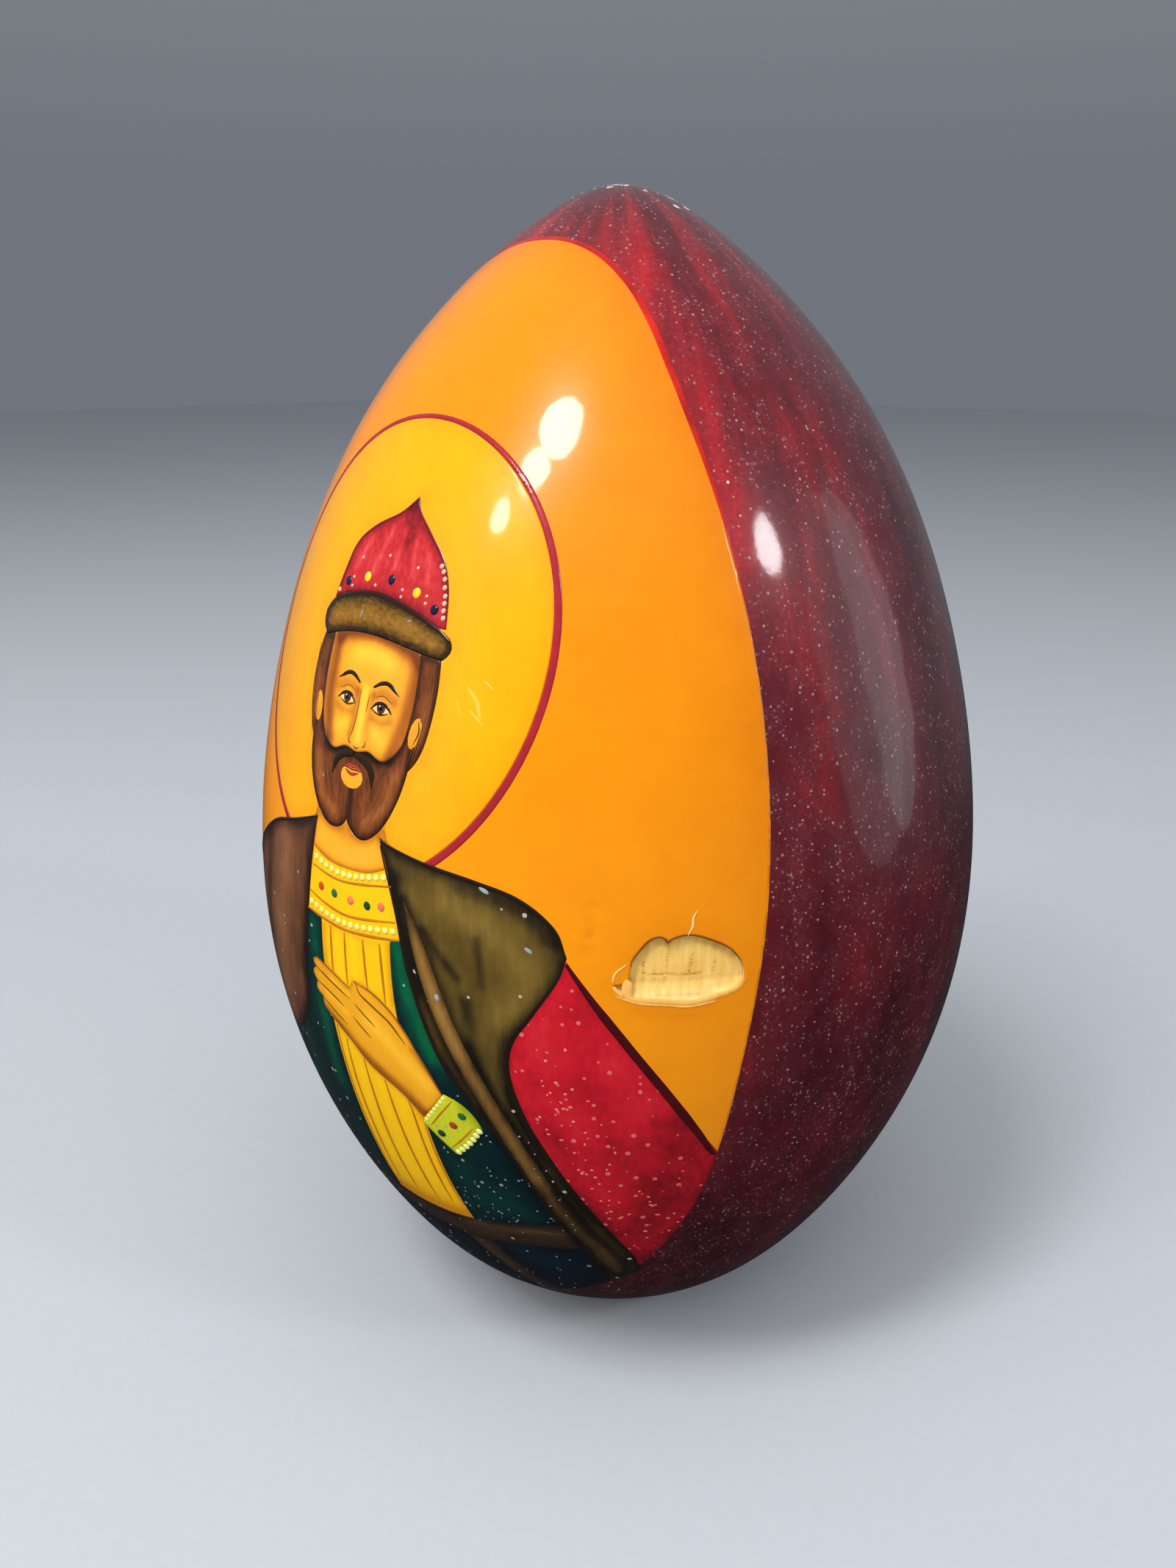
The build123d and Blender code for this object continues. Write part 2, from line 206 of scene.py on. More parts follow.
def fill(loops, spacing, seed=1, rings=(0.2, 0.45, 0.8)):
    """Points and triangles filling the loops: the loops, rings just inside them, and a loose grid."""
    dice = np.random.default_rng(seed)
    rim_points = [even_loop(loop, min(spacing, 0.45)) for loop in loops]
    extra = []
    for loop in rim_points:
        run = np.roll(loop, -1, axis=0) - np.roll(loop, 1, axis=0)
        inward = np.column_stack([-run[:, 1], run[:, 0]]) / (np.hypot(*run.T)[:, None] + 1e-9)
        for reach in rings:
            for way in (1, -1):
                candidates = loop + way * reach * inward
                candidates = candidates[inside(candidates, rim_points)]
                if len(candidates):
                    gap = np.min([distance_to(candidates, other, True) for other in rim_points], axis=0)
                    extra.append(candidates[gap > 0.9 * reach])
    low = np.min([loop.min(axis=0) for loop in rim_points], axis=0)
    high = np.max([loop.max(axis=0) for loop in rim_points], axis=0)
    rows = np.arange(low[1], high[1], spacing * 0.87)
    grid = [
        (x + (row % 2) * spacing / 2, z)
        for row, z in enumerate(rows)
        for x in np.arange(low[0], high[0], spacing)
    ]
    grid = np.array(grid) + dice.uniform(-0.18, 0.18, (len(grid), 2)) * spacing
    grid = grid[inside(grid, rim_points)]
    gap = np.min([distance_to(grid, loop, True) for loop in rim_points], axis=0)
    grid = grid[gap > max(0.5 * spacing, max(rings, default=0) + 0.3 * spacing)]
    border = np.vstack(rim_points)
    spans, first = [], 0
    for loop in rim_points:
        spans += [(first + i, first + (i + 1) % len(loop)) for i in range(len(loop))]
        first += len(loop)
    everything = np.vstack([border] + extra + [grid])
    found = delaunay_2d_cdt([Vector(p) for p in everything], spans, [], 0, 1e-5)
    flat = np.array([tuple(p) for p in found[0]])
    faces = np.array([f for f in found[2] if len(f) == 3])
    faces = faces[inside(flat[faces].mean(axis=1), rim_points)]
    used = np.unique(faces)
    place = np.full(len(flat), -1)
    place[used] = np.arange(len(used))
    flat, faces = flat[used], place[faces]
    a, b, c = flat[faces[:, 0]], flat[faces[:, 1]], flat[faces[:, 2]]
    clockwise = np.cross(b - a, c - a) < 0
    faces[clockwise] = faces[clockwise][:, ::-1]
    return flat, faces, rim_points


# ---------------------------------------------------------------- making pieces
def make_piece(name, points, faces, shade, paint, stands_for=()):
    """A smooth-shaded mesh in millimetres of the drawing, riding on the egg. shade is each point's tone."""
    mesh = bpy.data.meshes.new(name)
    mesh.from_pydata((np.asarray(points) * UNIT).tolist(), [], [list(map(int, face)) for face in faces])
    mesh.polygons.foreach_set("use_smooth", [True] * len(mesh.polygons))
    layer = mesh.attributes.new("shade", "FLOAT", "POINT")
    layer.data.foreach_set("value", np.asarray(shade, np.float32))
    mesh.materials.append(paint)
    mesh.update()
    piece = bpy.data.objects.new(name, mesh)
    bpy.context.scene.collection.objects.link(piece)
    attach(piece, BODY)
    if stands_for:
        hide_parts(*stands_for)
    return piece


def soft_strokes(flat, strokes):
    """What soft brush strokes add to each point's shade. Each is a path, its reach and its amount."""
    total = np.zeros(len(flat))
    for path, reach, amount in strokes:
        total += amount * np.exp(-((distance_to(flat, smooth_path(path, 0.8)) / reach) ** 2))
    return total


def film(node, paint, strokes=(), edge=(0, 1), spacing=0.42, proud=FILM, base=0.5, tint=None,
         rings=(0.2, 0.45, 0.8)):
    """A painted area in the outline of its CAD coat. edge is the shade along its rim and its reach."""
    flat, faces, rims = fill(outline_of(node), spacing, rings=rings)
    gap = np.min([distance_to(flat, rim, True) for rim in rims], axis=0)
    amount, reach = edge
    shade = base + soft_strokes(flat, strokes) + amount * np.exp(-((gap / reach) ** 2))
    if tint is not None:
        shade = shade + tint(flat[:, 0], flat[:, 1])
    points = lift(flat, proud)
    # the rim goes down to just under the lacquer's face
    edges = {(a, b) for face in faces for a, b in zip(face, np.roll(face, -1))}
    border = [(a, b) for a, b in edges if (b, a) not in edges]
    lowered = {a: len(points) + i for i, a in enumerate(sorted({a for a, _ in border}))}
    under = lift(flat[sorted(lowered)], -0.1)
    walls = [(b, a, lowered[a], lowered[b]) for a, b in border]
    shade = np.concatenate([shade, shade[sorted(lowered)]])
    points = np.vstack([points, under])
    return make_piece(node + "_paint", points, list(faces) + walls, shade, paint, (node,))


ACROSS = (-1, -0.62, 0, 0.62, 1)   # places across a brushed line
RISE = (0, 0.8, 1, 0.8, 0)         # and how far each stands up
TAPER_SHARE = 0.25                 # how much of a line's length each end takes to swell
SUNK = 0.04                        # how far the edges of lines and blobs sink into what is under them


def ribbon(path, width, proud, taper=(0.25, 0.25), height=0.03, step=0.35):
    """A brushed line: its points, faces and the shade across it. taper is the width at each end."""
    path = smooth_path(path, step)
    run = np.gradient(path, axis=0)
    side = np.column_stack([-run[:, 1], run[:, 0]]) / (np.hypot(*run.T)[:, None] + 1e-9)
    t = np.linspace(0, 1, len(path))
    begins = taper[0] + t * (1 - taper[0]) / TAPER_SHARE
    ends = taper[1] + (1 - t) * (1 - taper[1]) / TAPER_SHARE
    swell = np.minimum(1, np.minimum(begins, ends))
    rows = []
    for across, rise in zip(ACROSS, RISE):
        row = path + side * (across * width / 2 * swell)[:, None]
        rows.append(lift(row, proud - SUNK + (SUNK + height) * rise))
    points = np.stack(rows, axis=1).reshape(-1, 3)
    count = len(ACROSS)
    faces = [
        (i * count + j, i * count + j + 1, (i + 1) * count + j + 1, (i + 1) * count + j)
        for i in range(len(path) - 1)
        for j in range(count - 1)
    ]
    return points, [face[::-1] for face in faces], np.full(len(points), 0.5)


def join(parts):
    """Several meshes as one."""
    points, faces, shades, first = [], [], [], 0
    for part_points, part_faces, part_shades in parts:
        points.append(part_points)
        faces += [tuple(first + i for i in face) for face in part_faces]
        shades.append(part_shades)
        first += len(part_points)
    return np.vstack(points), faces, np.concatenate(shades)


def joined_piece(name, paint, parts):
    return make_piece(name, *join(parts), paint)


def line_work(name, paint, lines, proud=LINE, height=0.03, taper=(0.35, 0.35)):
    """Brushed lines as one piece. Each is a path and a width."""
    return joined_piece(name, paint, [ribbon(path, width, proud, taper, height) for path, width in lines])


def dome(centre, radii, proud, height, lean=0.0, sides=14):
    """A low round or oval blob of paint."""
    rings = ((1, 0), (0.86, 0.62), (0.5, 0.93))
    turns = np.arange(sides) * 2 * pi / sides
    flat, rise = [], []
    for size, level in rings:
        for turn in turns:
            u = radii[0] * size * cos(turn)
            v = radii[1] * size * sin(turn)
            x = centre[0] + u * cos(lean) - v * sin(lean)
            z = centre[1] + u * sin(lean) + v * cos(lean)
            flat.append((x, z))
            rise.append(level)
    flat.append(centre)
    rise.append(1)
    points = np.vstack([lift([p], proud - SUNK + (SUNK + height) * r) for p, r in zip(flat, rise)])
    faces = []
    for ring in range(2):
        for i in range(sides):
            j = (i + 1) % sides
            inner, outer = (ring + 1) * sides, ring * sides
            faces.append((outer + i, outer + j, inner + j, inner + i))
    faces += [(2 * sides + i, 2 * sides + (i + 1) % sides, 3 * sides) for i in range(sides)]
    return points, faces, np.full(len(points), 0.5)


def blobs(name, paint, centres, radius, proud=DETAIL, height=0.12):
    """Round blobs of paint as one piece."""
    return joined_piece(name, paint, [dome(centre, (radius, radius), proud, height) for centre in centres])


def beads(path, spacing):
    """Centres along a path."""
    path = smooth_path(path, 0.1)
    run = np.concatenate([[0], np.cumsum(np.hypot(*np.diff(path, axis=0).T))])
    count = max(1, round(run[-1] / spacing))
    wanted = (np.arange(count) + 0.5) * run[-1] / count
    return [tuple(p) for p in np.column_stack([np.interp(wanted, run, path[:, i]) for i in (0, 1)])]


# ---------------------------------------------------------------- materials
def tone(red, green, blue):
    """A colour as the eye reads it, from 0 to 255 a channel, in the linear values that light uses."""
    channels = (c / 255 for c in (red, green, blue))
    return tuple(((c + 0.055) / 1.055) ** 2.4 if c > 0.0405 else c / 12.92 for c in channels) + (1,)


SHEEN = 0.2               # specular level of bare and lacquered faces
VARNISH_IOR = 1.42
PAINT_ROUGHNESS = 0.27
WRAP_RADIUS = 45          # the cylinder that the lacquer's runs are drawn round, in millimetres


def set_stops(elements, stops):
    while len(elements) < len(stops):
        elements.new(0.5)
    for element, (place, colour) in zip(elements, stops):
        element.position = place
        element.color = colour


class Shader:
    """A material being wired. Every method adds a node and gives back the socket to plug in."""

    def __init__(self, name):
        self.material = bpy.data.materials.new(name)
        self.material.use_nodes = True
        self.tree = self.material.node_tree
        self.tree.nodes.clear()
        self.output = self.tree.nodes.new("ShaderNodeOutputMaterial")
        self.place = self.tree.nodes.new("ShaderNodeTexCoord").outputs["Object"]

    def node(self, kind, inputs=(), **settings):
        made = self.tree.nodes.new("ShaderNode" + kind)
        for key, value in settings.items():
            setattr(made, key, value)
        for key, value in dict(inputs).items():
            if isinstance(value, bpy.types.NodeSocket):
                self.tree.links.new(value, made.inputs[key])
            else:
                made.inputs[key].default_value = value
        return made

    def math(self, operation, a, b=0.0, clamp=False):
        return self.node("Math", {0: a, 1: b}, operation=operation, use_clamp=clamp).outputs[0]

    def total(self, base, *terms):
        """A base plus the terms, each given with its weight."""
        for socket, weight in terms:
            base = self.math("ADD", base, self.math("MULTIPLY", socket, weight))
        return base

    def shade(self):
        """The tone that each piece carries at its points."""
        return self.node("Attribute", attribute_name="shade").outputs["Fac"]

    def noise(self, per_mm, detail=3.0, stretch=(1, 1, 1), rough=0.5, where=None):
        """Noise with so many waves in a millimetre, centred on zero. stretch thins it out along an axis."""
        scale = tuple(per_mm / UNIT * s for s in stretch)
        spot = self.node("Mapping", {"Vector": where or self.place, "Scale": scale}).outputs[0]
        made = self.node("TexNoise", {"Vector": spot, "Scale": 1.0, "Detail": detail, "Roughness": rough})
        return self.math("SUBTRACT", made.outputs["Fac"], 0.5)

    def ramp(self, fac, stops):
        """Tones at their places from 0 to 1."""
        made = self.node("ValToRGB", {"Fac": fac})
        set_stops(made.color_ramp.elements, [(place, tone(*colour)) for place, colour in stops])
        return made.outputs["Color"]

    def mix(self, fac, colour, other):
        """Another tone over a colour, as much as fac says."""
        return self.node("Mix", {"Factor": fac, 6: colour, 7: tone(*other)}, data_type="RGBA").outputs[2]

    def specks(self, per_mm, size, share, seed=0.0):
        """1 on small scattered specks and 0 elsewhere. share is how many cells have one."""
        spot = self.node(
            "Mapping", {"Vector": self.place, "Scale": (per_mm / UNIT,) * 3, "Location": (seed, seed, seed)}
        ).outputs[0]
        cells = self.node("TexVoronoi", {"Vector": spot, "Scale": 1.0})
        split = self.node("SeparateColor", {"Color": cells.outputs["Color"]})
        limit = self.math("MULTIPLY", split.outputs[1], size)
        near = self.math("LESS_THAN", cells.outputs["Distance"], limit)
        chosen = self.math("GREATER_THAN", split.outputs[0], 1 - share)
        return self.math("MULTIPLY", near, chosen)

    def bump(self, height, depth_mm, normal=None):
        """A normal disturbed by a height from 0 to 1 that stands for so many millimetres."""
        inputs = {"Height": height, "Strength": 1.0, "Distance": depth_mm * UNIT}
        if normal is not None:
            inputs["Normal"] = normal
        return self.node("Bump", inputs).outputs["Normal"]

    def finish(self, colour, roughness, normal=None, **more):
        inputs = {"Base Color": colour, "Roughness": roughness, "Specular IOR Level": SHEEN}
        if normal is not None:
            inputs["Normal"] = normal
        for key, value in more.items():
            inputs[key.replace("_", " ").title().replace("Ior", "IOR")] = value
        shader = self.node("BsdfPrincipled", inputs)
        self.tree.links.new(shader.outputs[0], self.output.inputs["Surface"])
        return self.material


def varnish(shader, depth=1.0):
    """The clear coat's own normal: slow waves and fine dust lumps, shared by all that is varnished."""
    waves = shader.noise(0.09, 1.0)
    lumps = shader.noise(1.1, 2.0)
    wavy = shader.bump(waves, 0.16 * depth)
    return shader.bump(lumps, 0.0045 * depth, wavy)


def paint(name, stops, streaks=0.18, stretch=(1, 1, 0.18), fine=1.6, mottle=0.16, dust=0.0, relief=0.02,
          gloss=0.65, dust_colour=(200, 190, 175)):
    """Hand-brushed paint under varnish. stops run from its darkest to its lightest tone."""
    shader = Shader(name)
    brush = shader.noise(fine, 4.0, stretch)
    cloudy = shader.noise(0.22, 3.0)
    value = shader.total(shader.shade(), (brush, streaks), (cloudy, mottle))
    last = len(stops) - 1
    colour = shader.ramp(value, [(i / last, stop) for i, stop in enumerate(stops)])
    if dust:
        speck = shader.specks(1.3, 0.42, dust)
        colour = shader.mix(shader.math("MULTIPLY", speck, 0.7), colour, dust_colour)
    return shader.finish(
        colour, PAINT_ROUGHNESS, shader.bump(brush, relief), coat_weight=gloss, coat_roughness=0.07,
        coat_normal=varnish(shader), coat_ior=VARNISH_IOR, specular_ior_level=0.16,
    )


def bare_wood():
    """Pale turned wood with upright grain."""
    shader = Shader("bare wood")
    grain = shader.noise(1.1, 5.0, (1, 1, 0.06))
    rings = shader.noise(0.3, 2.0, (1, 1, 0.05))
    pores = shader.noise(4.0, 2.0, (1, 1, 0.08))
    value = shader.total(0.5, (grain, 0.9), (rings, 0.5))
    colour = shader.ramp(value, [(0, (190, 140, 75)), (0.5, (226, 182, 116)), (1, (243, 210, 150))])
    return shader.finish(colour, 0.62, shader.bump(pores, 0.05))


def chipped_wood():
    """The wood in the chip: the same grain, with painted shade in its cracks."""
    shader = Shader("chipped wood")
    grain = shader.noise(1.5, 5.0, (1, 1, 0.10))
    blotch = shader.noise(0.5, 2.0)
    value = shader.total(shader.shade(), (grain, 0.5), (blotch, 0.25))
    colour = shader.ramp(value, [
        (0, (140, 88, 22)), (0.25, (206, 146, 56)), (0.5, (236, 186, 92)),
        (0.8, (246, 206, 120)), (1, (252, 222, 150)),
    ])
    return shader.finish(colour, 0.6, shader.bump(grain, 0.08))


def chalk_ground():
    """The white ground under the coats."""
    shader = Shader("chalk ground")
    dirt = shader.noise(0.8, 4.0)
    value = shader.total(0.5, (dirt, 0.9))
    colour = shader.ramp(value, [(0, (190, 160, 120)), (0.5, (232, 214, 186)), (1, (246, 236, 218))])
    return shader.finish(colour, 0.75, shader.bump(shader.noise(3.0, 3.0), 0.03))


def maroon_lacquer():
    """See-through maroon lacquer: redder where it is thin, with upright runs, dust and scratches."""
    shader = Shader("maroon lacquer")
    split = shader.node("SeparateXYZ", {"Vector": shader.place})
    flat = shader.node("CombineXYZ", {"X": split.outputs[0], "Y": split.outputs[1]}).outputs[0]
    round_it = shader.node("VectorMath", {0: flat}, operation="NORMALIZE").outputs[0]
    spread = shader.node("VectorMath", {0: round_it, "Scale": WRAP_RADIUS * UNIT},
                         operation="SCALE").outputs[0]
    tall = shader.node("CombineXYZ", {"Z": split.outputs[2]}).outputs[0]
    wrapped = shader.node("VectorMath", {0: spread, 1: tall}, operation="ADD").outputs[0]
    runs = shader.noise(0.11, 3.0, (1, 1, 0.45), where=wrapped)
    hairs = shader.noise(0.9, 4.0, (1, 1, 0.4), where=wrapped)
    grain = shader.noise(1.7, 5.0, rough=0.7)
    clouds = shader.noise(0.30, 4.0, rough=0.6)
    value = shader.total(shader.shade(), (runs, 0.80), (hairs, 0.16), (grain, 0.34))
    colour = shader.ramp(value, [
        (0, (40, 8, 14)), (0.30, (66, 12, 20)), (0.52, (92, 16, 26)), (0.72, (142, 18, 28)),
        (0.88, (186, 24, 32)), (1, (216, 34, 36)),
    ])
    dusty = shader.math("MULTIPLY", shader.math("ADD", clouds, 0.12), 3.2, clamp=True)
    haze = shader.math("ADD", shader.noise(3.2, 3.0, rough=0.7), 0.1)
    bloom = shader.math("MULTIPLY", haze, 0.8, clamp=True)
    colour = shader.mix(shader.math("MULTIPLY", bloom, dusty), colour, (150, 96, 98))
    fine = shader.specks(2.3, 0.46, 0.5)
    sparse = shader.specks(1.5, 0.26, 0.45, 9.1)
    coarse = shader.specks(0.55, 0.11, 0.10, 3.7)
    settled = shader.math("MULTIPLY", fine, dusty)
    marks = [(settled, 0.6, (178, 126, 126)), (sparse, 0.5, (200, 160, 152)),
             (coarse, 0.8, (228, 212, 200))]
    for mark, strength, mark_tone in marks:
        colour = shader.mix(shader.math("MULTIPLY", mark, strength), colour, mark_tone)
    lumps = shader.total(0.0, (grain, 0.5), (fine, 0.5))
    return shader.finish(
        colour, 0.36, shader.bump(lumps, 0.03), coat_weight=0.75, coat_roughness=0.08,
        coat_normal=varnish(shader, 1.2), coat_ior=VARNISH_IOR,
    )


# ---------------------------------------------------------------- wood, ground and lacquer
for node, material in (("wood_core", bare_wood()), ("ground_coat", chalk_ground())):
    mesh = frame["nodes"][node].data
    mesh.materials.clear()
    mesh.materials.append(material)

panel_loops = outline_of("orange_panel")
panel_rim = even_loop(panel_loops[0], 1.0)
chip_rim = even_loop(panel_loops[1], 0.4)


def lacquer_shell():
    """The turned lacquer surface, open where the panel is, with a lip at its hem."""
    around, rows = 260, 170
    low_lean = 1 - 2 * (COAT_HEM + FOOT_CUT) / (EGG_HEIGHT + FOOT_CUT)
    turns = np.linspace(np.arccos(low_lean), pi, rows)
    heights = (EGG_HEIGHT + FOOT_CUT) * (1 - np.cos(turns)) / 2 - FOOT_CUT
    bearings = np.arange(around) * 2 * pi / around
    hem = radius_at(COAT_HEM) * 0.93
    points = [(hem * sin(b), -hem * cos(b), COAT_HEM) for b in bearings]
    for z in heights[:-1]:
        r = float(radius_at(z))
        points += [(r * sin(b), -r * cos(b), z) for b in bearings]
    points.append((0, 0, EGG_HEIGHT))
    points = np.array(points)
    faces = []
    for row in range(rows - 1):
        for i in range(around):
            j = (i + 1) % around
            below, above = row * around, (row + 1) * around
            faces.append((below + i, below + j, above + j, above + i))
    last = (rows - 1) * around
    faces += [(last + i, last + (i + 1) % around, len(points) - 1) for i in range(around)]
    front = points[:, 1] < 0
    flat = points[:, [0, 2]]
    gap = distance_to(flat, panel_rim, True)
    within = front & inside(flat, [panel_rim]) & (gap > 0.9)
    faces = [face for face in faces if not within[list(face)].any()]
    used = sorted({i for face in faces for i in face})
    place = {old: new for new, old in enumerate(used)}
    faces = [tuple(place[i] for i in face) for face in faces]
    points, gap, front = points[used], gap[used], front[used]
    # redder near the panel's edge and towards the tip; darker low down and round the sides, as painted
    # shade
    z = points[:, 2]
    bearing = np.degrees(np.arctan2(points[:, 0], -points[:, 1]))
    shade = 0.40 + 0.16 * np.exp(-((gap / 4.5) ** 2)) * front * np.clip((z - 40) / 40, 0, 1)
    shade = shade + 0.13 * np.exp(-(((z - 134) / 16) ** 2)) - 0.16 * np.clip((45 - z) / 45, 0, 1)
    shade = shade - 0.06 * np.clip((np.abs(bearing) - 60) / 60, 0, 1)
    return make_piece("lacquer_shell", points, faces, shade, maroon_lacquer(), ("lacquer_coat",))


lacquer_shell()

# ---------------------------------------------------------------- panel, its edge and the chip
orange = paint(
    "orange panel", [(204, 108, 0), (226, 128, 0), (241, 144, 0), (251, 155, 4), (255, 168, 22)],
    streaks=0.08, stretch=(0.5, 0.5, 1.2), fine=0.8, mottle=0.16, relief=0.012,
)
film(
    "orange_panel", orange,
    strokes=[
        ([(-24, 118), (-14, 132), (2, 138)], 13, 0.08), ([(38, 96), (38, 72), (36, 56)], 5, -0.06),
        ([(28, 64), (34, 52)], 5, -0.06), ([(24, 88), (30, 76)], 4, -0.04),
        ([(28.6, 78.8), (28.9, 77), (28.6, 75), (28.1, 73.9)], 0.35, -0.22),
        ([(29.0, 78.6), (29.3, 77), (29.0, 75.2)], 0.3, 0.16),
        ([(33, 67.2), (36.7, 66.6), (38.4, 67.0)], 0.6, -0.10),
    ],
    edge=(-0.10, 1.6), spacing=0.9, proud=0.02, base=0.52,
    # tint: darker to the right, and painted light low down with painted shade at the top, evening out the
    # fall of light down the panel
    tint=lambda x, z: -0.0030 * np.clip(x, -20, 40) - 0.0055 * (z - 86),
)

rim_from_foot = np.roll(panel_rim, -int(np.argmin(panel_rim[:, 1])), axis=0)
upper_edge = rim_from_foot[rim_from_foot[:, 1] > 108]
bright_red = paint("thin bright lacquer", [(96, 8, 12), (150, 16, 16), (206, 34, 18), (226, 60, 22)],
                   mottle=0.7)
line_work("panel_edge", bright_red, [(upper_edge[::3], 0.45)], proud=0.03, taper=(0.05, 0.05), height=0.02)

CHIP_FLOOR = -0.62        # how far the chip's bare wood lies below the lacquer's face


def chip_bed():
    """Bare wood at the bottom of the chip, ridged along the grain and cracked."""
    flat, faces, rims = fill([chip_rim], 0.22, 5, ())
    gap = distance_to(flat, rims[0], True)
    x, z = flat[:, 0], flat[:, 1]
    cracks = [
        ([(33.5, 71.25), (35, 71.15), (36.3, 71.05), (37.5, 71.1)], 0.10),
        ([(34.9, 70.1), (34.95, 72), (34.85, 74.6)], 0.09), ([(36.6, 71.2), (36.7, 73.4)], 0.06),
        ([(33.3, 70.6), (33.2, 72.6)], 0.06), ([(38.2, 71), (38.3, 72.6)], 0.05),
        ([(32.2, 70.3), (32.3, 71.6)], 0.05),
    ]
    groove = np.zeros(len(flat))
    for path, reach in cracks:
        groove = np.maximum(groove, np.exp(-((distance_to(flat, smooth_path(path, 0.3)) / reach) ** 2)))
    ridges = 0.03 * np.sin(x * 9.0 + 0.7 * np.sin(z * 1.3)) + 0.02 * np.sin(x * 23.0 + z * 0.8)
    ledge = np.clip((70.3 - z) / 1.2, 0, 1)
    depth = CHIP_FLOOR + ridges + 0.28 * ledge - 0.05 * groove + 0.20 * np.exp(-((gap / 0.25) ** 2))
    # shade: lighter on the grain's ridges and on the ledge, with painted shade in the cracks
    shade = 0.56 + 1.0 * ridges - 0.36 * groove + 0.28 * ledge
    # a painted shadow just under the chip's upper rim, where the broken coats stand over the wood
    shade = shade - 0.22 * np.exp(-((gap / 0.6) ** 2)) * (z > 72.5)
    points = np.vstack([lift([p], d) for p, d in zip(flat, depth)])
    return make_piece("chip_bed", points, faces, shade, chipped_wood())


chip_bed()
peach = paint("broken edge", [(214, 130, 30), (236, 164, 64), (246, 190, 104), (250, 208, 136)],
              streaks=0.5, mottle=0.6, gloss=0.3)
lower_rim = sorted((p for p in chip_rim if p[1] < 70.9), key=lambda p: p[0])
line_work(
    "chip_lip", peach,
    [(np.array(lower_rim)[::2] + (0, -0.12), 0.7),
     ([(31.2, 69.0), (33, 68.2), (35, 67.9), (36.7, 67.6), (38.4, 68.0)], 0.28),
     ([(30.9, 70.6), (31.1, 71.6), (31.9, 72.6)], 0.26)],
    proud=0.04, height=0.05,
)
scratch_paint = paint("pale scratch", [(226, 160, 70), (240, 190, 120), (246, 210, 156)], mottle=0.6)
line_work(
    "pale_scratches", scratch_paint,
    [([(36.5, 78.2), (36.3, 77.3), (36.35, 76.5), (36.1, 75.6)], 0.15)],
    proud=FILM + 0.02, height=0.012,
)
scuff_paint = paint("halo scuff", [(222, 168, 30), (232, 182, 60), (238, 194, 84)], mottle=0.5)
line_work(
    "halo_scuffs", scuff_paint,
    [([(14.2, 99.6), (15.4, 98.4), (16.2, 96.6)], 0.45), ([(14.9, 97.4), (16.6, 96.0)], 0.3),
     ([(15.8, 100.4), (17.0, 99.5)], 0.25), ([(13.4, 98.2), (14.0, 96.8)], 0.2)],
    proud=FILM + 0.02, height=0.008,
)
# a painted shadow along the chip's upper rim, under the broken edge of the coats
chip_shadow_paint = paint("painted chip shadow", [(70, 30, 6), (120, 62, 14), (150, 86, 24)], mottle=0.3)
upper_rim = sorted((p for p in chip_rim if p[1] > 72.2), key=lambda p: p[0])
line_work("chip_shadow_edge", chip_shadow_paint, [(np.array(upper_rim)[::2], 0.2)], proud=0.03, height=0.01)

# ---------------------------------------------------------------- halo
halo_gold = paint(
    "halo gold", [(200, 114, 0), (224, 140, 0), (240, 162, 0), (247, 175, 0), (252, 190, 14)],
    streaks=0.16, stretch=(0.5, 0.5, 0.5), fine=1.0, mottle=0.2,
)
film(
    "halo_disc", halo_gold, strokes=[([(13, 100), (15, 96)], 4, 0.08), ([(-14, 92), (-16, 104)], 5, -0.06)],
    edge=(-0.10, 1.2), spacing=0.7,
)
crimson_line = paint("halo ring crimson", [(96, 24, 16), (138, 30, 34), (166, 34, 44), (196, 48, 56)],
                     mottle=0.5, streaks=0.4)
film(
    "halo_ring", crimson_line, strokes=[([(-20, 88), (-22, 100), (-18, 114)], 5, -0.25)],
    edge=(0.14, 0.25), spacing=0.5, proud=FILM + 0.01,
)

# ---------------------------------------------------------------- head
hair_brown = paint("hair brown", [(26, 12, 6), (68, 34, 14), (124, 62, 22), (160, 94, 40)], streaks=0.55,
                   stretch=(1, 1, 0.25), fine=2.2)
skin = paint("skin ochre", [(116, 54, 12), (184, 104, 20), (230, 156, 30), (244, 184, 48), (251, 204, 84)],
             streaks=0.12, mottle=0.14)
dark_line = paint("umber line", [(22, 12, 8), (40, 22, 12), (62, 36, 18)], mottle=0.3)

CENTRE_X, CENTRE_Z, HEAD_LEAN = 1.4, 94.0, radians(3)


def on_face(u, v):
    """A place on the head: u to the right of its centre line, v the height it would have upright."""
    return (
        CENTRE_X + u * cos(HEAD_LEAN) + (v - CENTRE_Z) * sin(HEAD_LEAN),
        CENTRE_Z + (v - CENTRE_Z) * cos(HEAD_LEAN) - u * sin(HEAD_LEAN),
    )


def face_path(*places):
    return [on_face(u, v) for u, v in places]


def both(*places):
    """A path on the face and its mirror image."""
    return [face_path(*places), face_path(*((-u, v) for u, v in places))]


